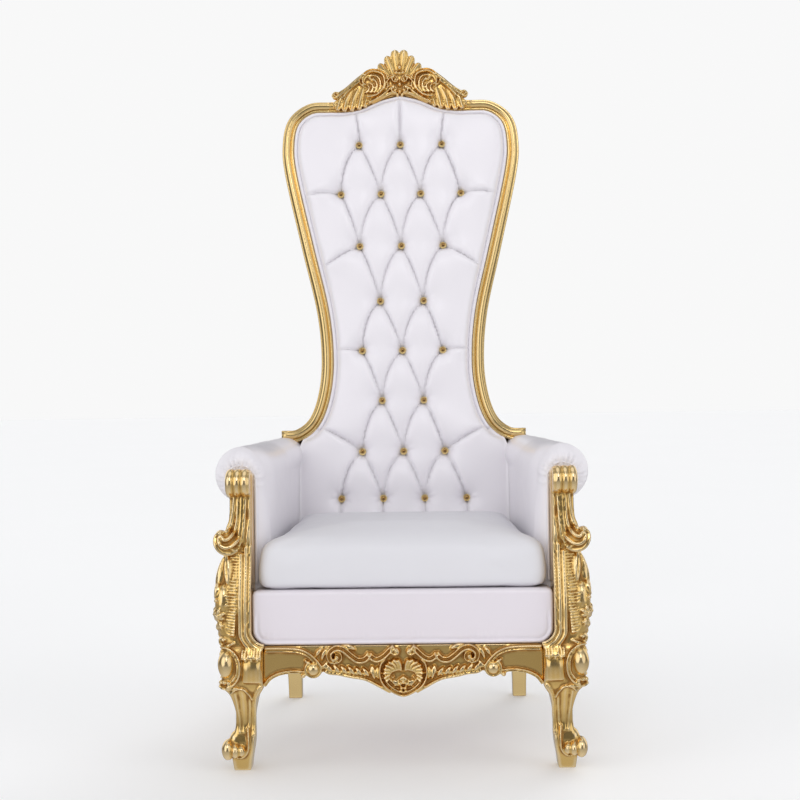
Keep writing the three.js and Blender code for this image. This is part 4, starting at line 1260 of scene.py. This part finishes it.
def leg(shell):
    core(shell, LEG, 64)
    face = swollen(LEG, [KNEE_BOSS])
    cut = partial(stroke, shell, face)
    blob(shell, *KNEE_BOSS, 18, 30)
    rim = [(386, 271), (368, 268), (352, 257), (344, 237), (346, 214), (357, 197), (371, 191)]
    cut(rim, 6, 9, steps=44)
    inner = [(370, 265), (357, 254), (350.5, 237), (352, 217), (361, 203)]
    cut(inner, 4, 6, steps=28)
    for x in (368, 377.5, 386):
        blob(shell, (x, -384 + (x - 368) * 0.6, 199), (5, 7, 4.6), 8, 12)
    cut([(350, 190), (366, 187), (380, 188), (391, 192)], 6, 8, steps=30)
    for i in range(7):
        x = 299.5 + 6.4 * i
        lobe = [(x, 268), (x + 1.2, 259), (x + 0.6, 247 - 4 * (i % 2))]
        cut(lobe, 6.6, 13, LEAF, tongue, steps=14)
    shield = [(319, 254), (319, 228), (320, 199)]
    cut(shield, 41, 8, ROUND, level, lambda t: 0.25 + 0.9 * spindle(t), 24)
    arch = [(322, 160), (326, 173), (335, 184), (345, 187), (356, 184), (366, 176)]
    cut(arch, 5, 7, steps=30)
    inner_edge = [(299, 190), (308, 180), (315.5, 164), (318.5, 140), (320, 110), (321, 78)]
    cut(inner_edge, 8, 6, ROLL, level, lambda t: 1 - 0.6 * t, 40)
    channels = ([(326, 172), (328, 140), (330, 110), (332, 84)],
                [(357, 176), (354, 140), (351, 110), (351, 84)])
    for path in channels:
        cut(path, 4, 3, steps=30)
    cut([(341, 182), (341, 150), (341, 110), (341, 84)], 16, 2.5, KEEL, steps=30)
    leg_flank(partial(stroke, shell, outer_face(LEG)))


def leg_flank(cut):
    """A curl at the knee, a leaf behind it and a roll down the leg's outer side."""
    curl = [(-372, 262), (-346, 256), (-322, 240), (-316, 222), (-330, 208), (-346, 200)]
    cut(curl, 9, 7, ROLL, steps=36)
    cut([(-300, 262), (-306, 236), (-304, 206), (-312, 176)], 12, 6, LEAF, spindle, steps=30)
    cut([(-330, 200), (-332, 172), (-326, 140), (-326, 96)], 9, 5, ROLL, tail, steps=30)


def foot(shell):
    """Rolled lobes over a plain tapered block."""
    lobes = (((377, -345, 48), (14, 21, 22.5)), ((360, -351, 47), (9.5, 17, 16)),
             ((347, -350, 47), (8, 14, 13)), ((361, -334, 68), (14, 18, 18)))
    for centre, radii in lobes:
        blob(shell, centre, radii, 16, 24)
    edge = [(334, 96), (332, 66), (335, 45), (345, 33), (358, 31)]
    stroke(shell, swollen(LEG, []), edge, 5, 7, steps=30)
    stroke(shell, outer_face(LEG), arc((-332, 48), (15, 5), (110, -190), 14), 7, 9, ROLL, steps=26)


def knob(shell):
    """The reeded roll over the end of the arm."""
    profile = [(0.1, 0), (KNOB_RADIUS - 5, 0), (KNOB_RADIUS - 3, 1.2), (KNOB_RADIUS - 2.4, 4)]
    reed = (KNOB_LENGTH - 6) / 3
    for i in range(3):
        for t in np.linspace(0.08, 0.92, 9):
            profile.append((KNOB_RADIUS - 3.6 + 4.2 * math.sin(math.pi * t) ** 0.6, 4 + reed * (i + t)))
    profile += [(KNOB_RADIUS - 4, KNOB_LENGTH - 1.5), (KNOB_RADIUS - 7, KNOB_LENGTH), (0.1, KNOB_LENGTH)]
    turn = np.linspace(0, 2 * np.pi, 48, endpoint=False)
    height = KNOB_PLACE[1]
    rings = [[(KNOB_START + x, KNOB_Y + r * math.cos(a), height + r * math.sin(a)) for a in turn]
             for r, x in profile]
    shell.loft(np.array(rings))


FLUTES = [
    [(334, 587), (336, 547), (337.5, 520), (341.5, 497), (351.5, 480.5), (366, 471.5), (382, 474.5),
     (392.5, 487), (394, 502), (385, 513)],
    [(341.5, 587), (342.6, 547), (345.2, 520), (350, 500), (360.3, 488), (372.3, 484), (383, 489),
     (386.5, 500), (381, 507)],
    [(349, 587), (350.8, 547), (354, 524), (360.3, 509), (369, 500), (377, 499), (379.5, 505)],
    [(356.5, 587), (359, 552), (363, 531), (369, 517), (376, 511)],
]


def stem(shell, face):
    """Drapery that falls from the knob and rolls outward into the volute."""
    cut = partial(stroke, shell, face)
    cut([(325, 592), (325, 540), (325, 484)], 5.5, 5, steps=30)
    for path in FLUTES:
        cut(path, 9.4, 8, steps=60)
    blob(shell, (386, -352, 512), (10, 16, 7), 12, 18)
    fold = [(330, 540), (331, 510), (334, 486), (343, 472), (354, 465)]
    cut(fold, 8, 7, ROLL, spindle, steps=30)


def swept(x, top, sweep):
    """Down the post at an X, then round under the seat's lower corner in an arc."""
    centre, down = (287.7, 305.3), [(x, z) for z in (top, 440, 396, 352, 320)]
    radius = x - centre[0]
    return down + arc(centre, (radius, radius * 0.86), (-6, sweep), 7)


def band(shell, face):
    """A rim and two long beads down the inner edge that sweep in under the seat, and a comb beside them."""
    cut = partial(stroke, shell, face)
    cut(swept(323.4, 484, -80), 6, 6, steps=70)
    cut(swept(332.8, 482, -78), 10.5, 8.5, steps=70)
    second = swept(343.6, 468, -72)
    cut(second, 8.5, 9, ROUND, lambda t: 1 + 0.5 * np.sin(np.pi * t), level, 70)
    for i in range(30):
        z = 478 - 6.2 * i
        start = np.interp(z, [290, 343, 480], [356, 352.5, 348])
        end = np.interp(z, [290, 343, 465], [369, 374, 368]) + 2 * math.sin(2.4 * i)
        tooth = [(start, z - 1), ((start + end) / 2, z), (end, z + 1.5)]
        cut(tooth, 5.2, 7.5, ROUND, tail, steps=12)


def acanthus(shell, face, spine, lobes, length, width, height):
    """A leaf of lobes along both sides of a spine, which end in a tip."""
    line, lean = catmull(spine, 60), 38
    stroke(shell, face, spine, width * 0.9, height, LEAF, lambda t: 1 - 0.6 * t, steps=34)
    for i in range(lobes):
        t = (i + 0.4) / lobes
        at = line[int(t * 56)]
        way = unit(line[int(t * 56) + 4] - at)
        for side in (1, -1):
            cos, sin = math.cos(math.radians(side * lean)), math.sin(math.radians(side * lean))
            out = np.array((way[0] * cos - way[1] * sin, way[0] * sin + way[1] * cos))
            reach = length * (1 - 0.45 * t)
            middle = at + out * reach * 0.6 + way * reach * 0.1
            path = [at, middle, at + out * reach * 0.8 + way * reach * 0.45]
            stroke(shell, face, path, width * (0.72 - 0.2 * t), height * 0.85, LEAF, spindle, steps=16)


def floret(shell, face, u, v, radius, petals=7):
    for i in range(petals):
        a = 2 * math.pi * i / petals
        tip = (u + radius * math.cos(a), v + radius * math.sin(a))
        stroke(shell, face, [(u, v), tip], radius * 0.55, 7, LEAF, spindle, steps=12)
    bead(shell, face, u, v, radius * 0.28, 2.2)


def post_leaves(shell, face):
    """The leaf that hangs under the volute, and the flowers and curl below the shield."""
    cut = partial(stroke, shell, face)
    hanging = [
        ([(372, 466), (370, 440), (370, 420), (371, 404)], 21, 12),
        ([(376, 464), (382, 437), (389, 406), (397, 378)], 22, 13),
        ([(381, 460), (388, 432), (394, 414), (398, 402)], 17, 12),
    ]
    for path, width, height in hanging:
        cut(path, width, height, LEAF, spindle, steps=34)
    bead(shell, face, 393, 371, 5, 1.6)
    floret(shell, face, 391, 338, 16)
    floret(shell, face, 388, 317, 9, 6)
    cut(arc((384, 281), (10, 3), (150, -150), 12), 6, 8, ROLL, steps=22)
    cut([(356, 282), (368, 276), (382, 273)], 8, 7, LEAF, spindle, steps=16)


def post_flank(shell):
    """Leaves, a flower, flutes and a scroll on the post's outer side."""
    flank = outer_face(POST)
    cut = partial(stroke, shell, flank)
    acanthus(shell, flank, [(-322, 462), (-330, 430), (-336, 396), (-338, 366)], 4, 26, 17, 8)
    floret(shell, flank, -336, 338, 16)
    acanthus(shell, flank, [(-330, 276), (-334, 296), (-338, 316)], 2, 20, 14, 7)
    cut([(-306, 470), (-308, 400), (-308, 330), (-306, 280)], 7, 6, ROLL, steps=50)
    for y in (-331, -322, -313):
        cut([(y, 590), (y, 540), (y - 5, 506)], 8, 5, steps=30)
    cut(arc((-338, 492), (16, 4), (60, -330), 18), 8, 9, ROLL, steps=36)


def post(name, side):
    shell = Shell()
    leg(shell)
    foot(shell)
    core(shell, POST, 70)
    knob(shell)
    face = swollen(POST, [VOLUTE, SHIELD])
    blob(shell, *VOLUTE, 16, 28)
    blob(shell, *SHIELD, 16, 24)
    stem(shell, face)
    band(shell, face)
    post_leaves(shell, face)
    post_flank(shell)
    thing = remeshed(name + "_carved", shell.moved(lambda p: p * (side, 1, 1)), POST_VOXEL)
    return finish_piece(thing, name, fine_gold)


# ---- Side and rear woodwork ----
def side_rail(name, side):
    front, back = BLOCK_BACK + GAP, 164
    middle = (front + back) / 2
    edge = [(front, 198), (-210, 211), (-130, 200), (middle, 186), (10, 200), (90, 211), (back, 206)]
    edge = catmull(edge, 60)
    outline = np.vstack([edge, [(back, RAIL_TOP), (front, RAIL_TOP)]])
    outer = ARM_CENTRE + 4
    shell = Shell()
    rings = [np.column_stack([np.full(len(outline), x), outline]) for x in (outer - SIDE_THICKNESS, outer)]
    shell.loft(np.array(rings))

    def face(u, v):
        return np.stack([np.full_like(u, outer), u, v], axis=1), np.tile((1.0, 0, 0), (len(u), 1))

    cut = partial(stroke, shell, face)
    low = [(y, z + 4) for y, z in edge[2:-2:6]]
    cut(low, 8, 6, ROLL, steps=70)
    cut([(front + 8, 264), (middle, 264), (back - 8, 264)], 7, 5, ROLL, steps=60)
    for way in (1, -1):
        scroll = [(middle + way * u, v) for u, v in ((2, 236), (30, 250), (66, 240), (94, 250))]
        scroll += [(middle + way * u, v) for u, v in arc((98, 238), (13, 4), (80, -200), 10)]
        cut(scroll, 10, 9, ROLL, steps=50)
    acanthus(shell, face, [(middle, 262), (middle, 236), (middle, 200)], 4, 26, 16, 9)
    thing = remeshed(name + "_carved", shell.moved(lambda p: draw_in(p) * (side, 1, 1)), SIDE_VOXEL)
    return finish_piece(thing, name, fine_gold)


BACK_LEG = [
    (0, 281, 316, 287, 322), (50, 279, 315, 266, 304), (90, 276, 315, 246, 288), (130, 273, 314, 228, 272),
    (170, 270, 314, 210, 258), (205, 268.3, 318, 192, 246), (225, 268.3, 333, 176, 240),
    (RAIL_TOP - GAP, 268.3, 336, 166, 230),
]


def plain_wood(name, rings, node):
    shell = Shell()
    shell.loft(np.array(rings))
    thing = plain_piece(name, shell)
    store_level(thing)
    return finish_piece(thing, node, smooth_gold)


def back_leg(name, side):
    curve = catmull(BACK_LEG, 48)
    rings = [rounded_ring(x0, x1, y0, y1, (5,) * 4, z, 6) for z, x0, x1, y0, y1 in curve]
    plain_wood(name + "_shaped", np.array(rings) * (side, 1, 1), name)


def back_rail():
    rings = [rounded_ring(205, RAIL_TOP - GAP, 150, 190, (4,) * 4, x, 5) for x in np.linspace(-268, 268, 12)]
    plain_wood("back_rail_shaped", np.array(rings)[:, :, [2, 1, 0]], "back_rail")


make_camera()
fine_gold = gold_leaf("gold_carved", (0.80, 0.52, 0.165), (0.90, 0.62, 0.24), 0.12, 0.06)
smooth_gold = gold_leaf("gold_moulding", (0.81, 0.58, 0.25), (0.88, 0.66, 0.32), 0.12, 0.03)
white = leathercloth("white_leathercloth", (0.80, 0.775, 0.815), 0.36, coat=0.25)
# The seat's front is the same white cloth painted a little darker than the white cover: painted shade.
seat_white_painted_shade = leathercloth("seat_leathercloth_painted_shade", (0.745, 0.70, 0.752), 0.34, coat=0.3)
# The cushion has a matte cover of its own, and it is also painted darker than the white cover as painted
# shade on its top.
cushion_matte_and_painted_shade = leathercloth("cushion_leathercloth_painted_shade", (0.70, 0.695, 0.73), 0.5)
button_gold = button_metal()
PLAIN = {"gilt_frame": smooth_gold, "white_cover": white, "cushion_cover": cushion_matte_and_painted_shade, "buttons": button_gold}
slots = {row["node"]: row["material_slot"] for row in frame["record"]["subparts"]}
for node, thing in frame["nodes"].items():
    thing.data.materials.clear()
    thing.data.materials.append(PLAIN[slots[node]])

for name, side in (("back_stile_right", 1), ("back_stile_left", -1)):
    stile(name, side, smooth_gold)
inside_back()
buttons()
for name, side in (("arm_right", 1), ("arm_left", -1)):
    arm(name, side)
seat_base()
seat_cushion()
outside_back()
crest_rail()
front_rail()
for suffix, side in (("_right", 1), ("_left", -1)):
    post("front_post" + suffix, side)
    side_rail("side_rail" + suffix, side)
    back_leg("back_leg" + suffix, side)
back_rail()


# ---- Studio: an even white room, four wide soft suns, and softboxes that only reflections see ----
PALE = 0.94  # the background's brightness, which is the floor's too
FLOOR_REACH, FLOOR_GLOW = 60000, 0.089
SUN_ANGLE, EVEN_LIGHT = 40, 0.70
SOFTBOXES = [  # direction, brightness, cosine of the soft edge's outer and inner radius
    ((-0.78, -0.72, 0.35), 1.55, 0.80, 0.92), ((0.82, -0.68, 0.30), 1.15, 0.82, 0.93),
    ((0.05, -0.72, 0.68), 1.9, 0.945, 0.985), ((0.10, -0.80, 0.57), 5.0, 0.988, 0.996),
    ((0.0, 0.0, 1.0), 1.15, 0.85, 0.94),
    ((-0.60, 0.80, 0.35), 1.2, 0.82, 0.93), ((0.75, 0.75, 0.30), 1.1, 0.82, 0.93),
]
# The brightness that reflections see at each height, from below to above.
SKY = [(-1.0, 0.85), (-0.25, 0.52), (-0.04, 0.20), (0.33, 0.22), (0.6, 0.40), (1.0, 0.55)]


def sun(name, direction, strength, colour=(1, 1, 1)):
    data = bpy.data.lights.new(name, "SUN")
    data.energy, data.color, data.angle = strength, colour, math.radians(SUN_ANGLE)
    thing = bpy.data.objects.new(name, data)
    bpy.context.scene.collection.objects.link(thing)
    thing.rotation_euler = Vector(direction).to_track_quat("Z", "Y").to_euler()
    thing.visible_glossy = False


def floor():
    corners = np.array([(-1, -1, 0), (1, -1, 0), (1, 1, 0), (-1, 1, 0)]) * FLOOR_REACH
    thing = new_object("floor", corners, [(0, 1, 2, 3)])
    n = Nodes("floor_paint", 0.0)
    n.put(n.shader.inputs["Base Color"], n.blend(n.noise(0.7, 2), (0.87, 0.87, 0.87), (0.89, 0.89, 0.89)))
    n.shader.inputs["Roughness"].default_value = 0.9
    n.shader.inputs["Emission Color"].default_value = (1, 1, 1, 1)
    n.shader.inputs["Emission Strength"].default_value = FLOOR_GLOW
    thing.data.materials.append(n.material)
    thing.visible_glossy = False


def mirrored_room(t):
    """What reflections see: a sky that changes with height, and the softboxes in it."""
    way = t.add("ShaderNodeTexCoord").outputs["Generated"]
    height = t.add("ShaderNodeSeparateXYZ", {0: way}).outputs["Z"]
    rising = t.add("ShaderNodeMapRange", {"Value": height, "From Min": -1.0}).outputs[0]
    sky = t.add("ShaderNodeValToRGB", {0: rising})
    stops = sky.color_ramp.elements
    while len(stops) < len(SKY):
        stops.new(0.5)
    for stop, (up, bright) in zip(stops, SKY):
        stop.position, stop.color = (up + 1) / 2, (bright, bright, bright, 1)
    glow = sky.outputs["Color"]
    for direction, brightness, edge, full in SOFTBOXES:
        towards = {0: way, 1: Vector(direction).normalized()}
        near = t.add("ShaderNodeVectorMath", towards, operation="DOT_PRODUCT").outputs["Value"]
        limits = {"Value": near, "From Min": edge, "From Max": full, "To Max": brightness}
        box = t.add("ShaderNodeMapRange", limits, interpolation_type="SMOOTHSTEP").outputs[0]
        glow = t.add("ShaderNodeMath", {0: glow, 1: box}, operation="MAXIMUM").outputs[0]
    return glow


def room():
    """Even light for the object, softboxes for its reflections, and a pale wall for the camera."""
    world = bpy.data.worlds.new("studio")
    bpy.context.scene.world = world
    world.use_nodes = True
    world.node_tree.nodes.clear()
    t = Tree(world.node_tree)
    ray = t.add("ShaderNodeLightPath").outputs
    even = t.add("ShaderNodeBackground", {0: (0.97, 0.98, 1.0, 1), 1: EVEN_LIGHT}).outputs[0]
    mirrored = t.add("ShaderNodeBackground", {1: mirrored_room(t)}).outputs[0]
    pale = t.add("ShaderNodeBackground", {0: (PALE, PALE, PALE, 1)}).outputs[0]
    lit = t.add("ShaderNodeMixShader", {0: ray["Is Glossy Ray"], 1: even, 2: mirrored}).outputs[0]
    seen = t.add("ShaderNodeMixShader", {0: ray["Is Camera Ray"], 1: lit, 2: pale}).outputs[0]
    t.add("ShaderNodeOutputWorld", {0: seen})


def studio():
    floor()
    room()
    sun("key", (-0.15, -1, 0.45), 0.60, (1, 0.985, 0.97))
    for side in (1, -1):
        sun("side", (0.9 * side, -0.45, 0.35), 0.45, (1, 0.985, 0.985))
    sun("rear", (0.5, 1, 0.8), 0.55)
    bpy.context.scene.view_settings.view_transform = "Standard"


studio()
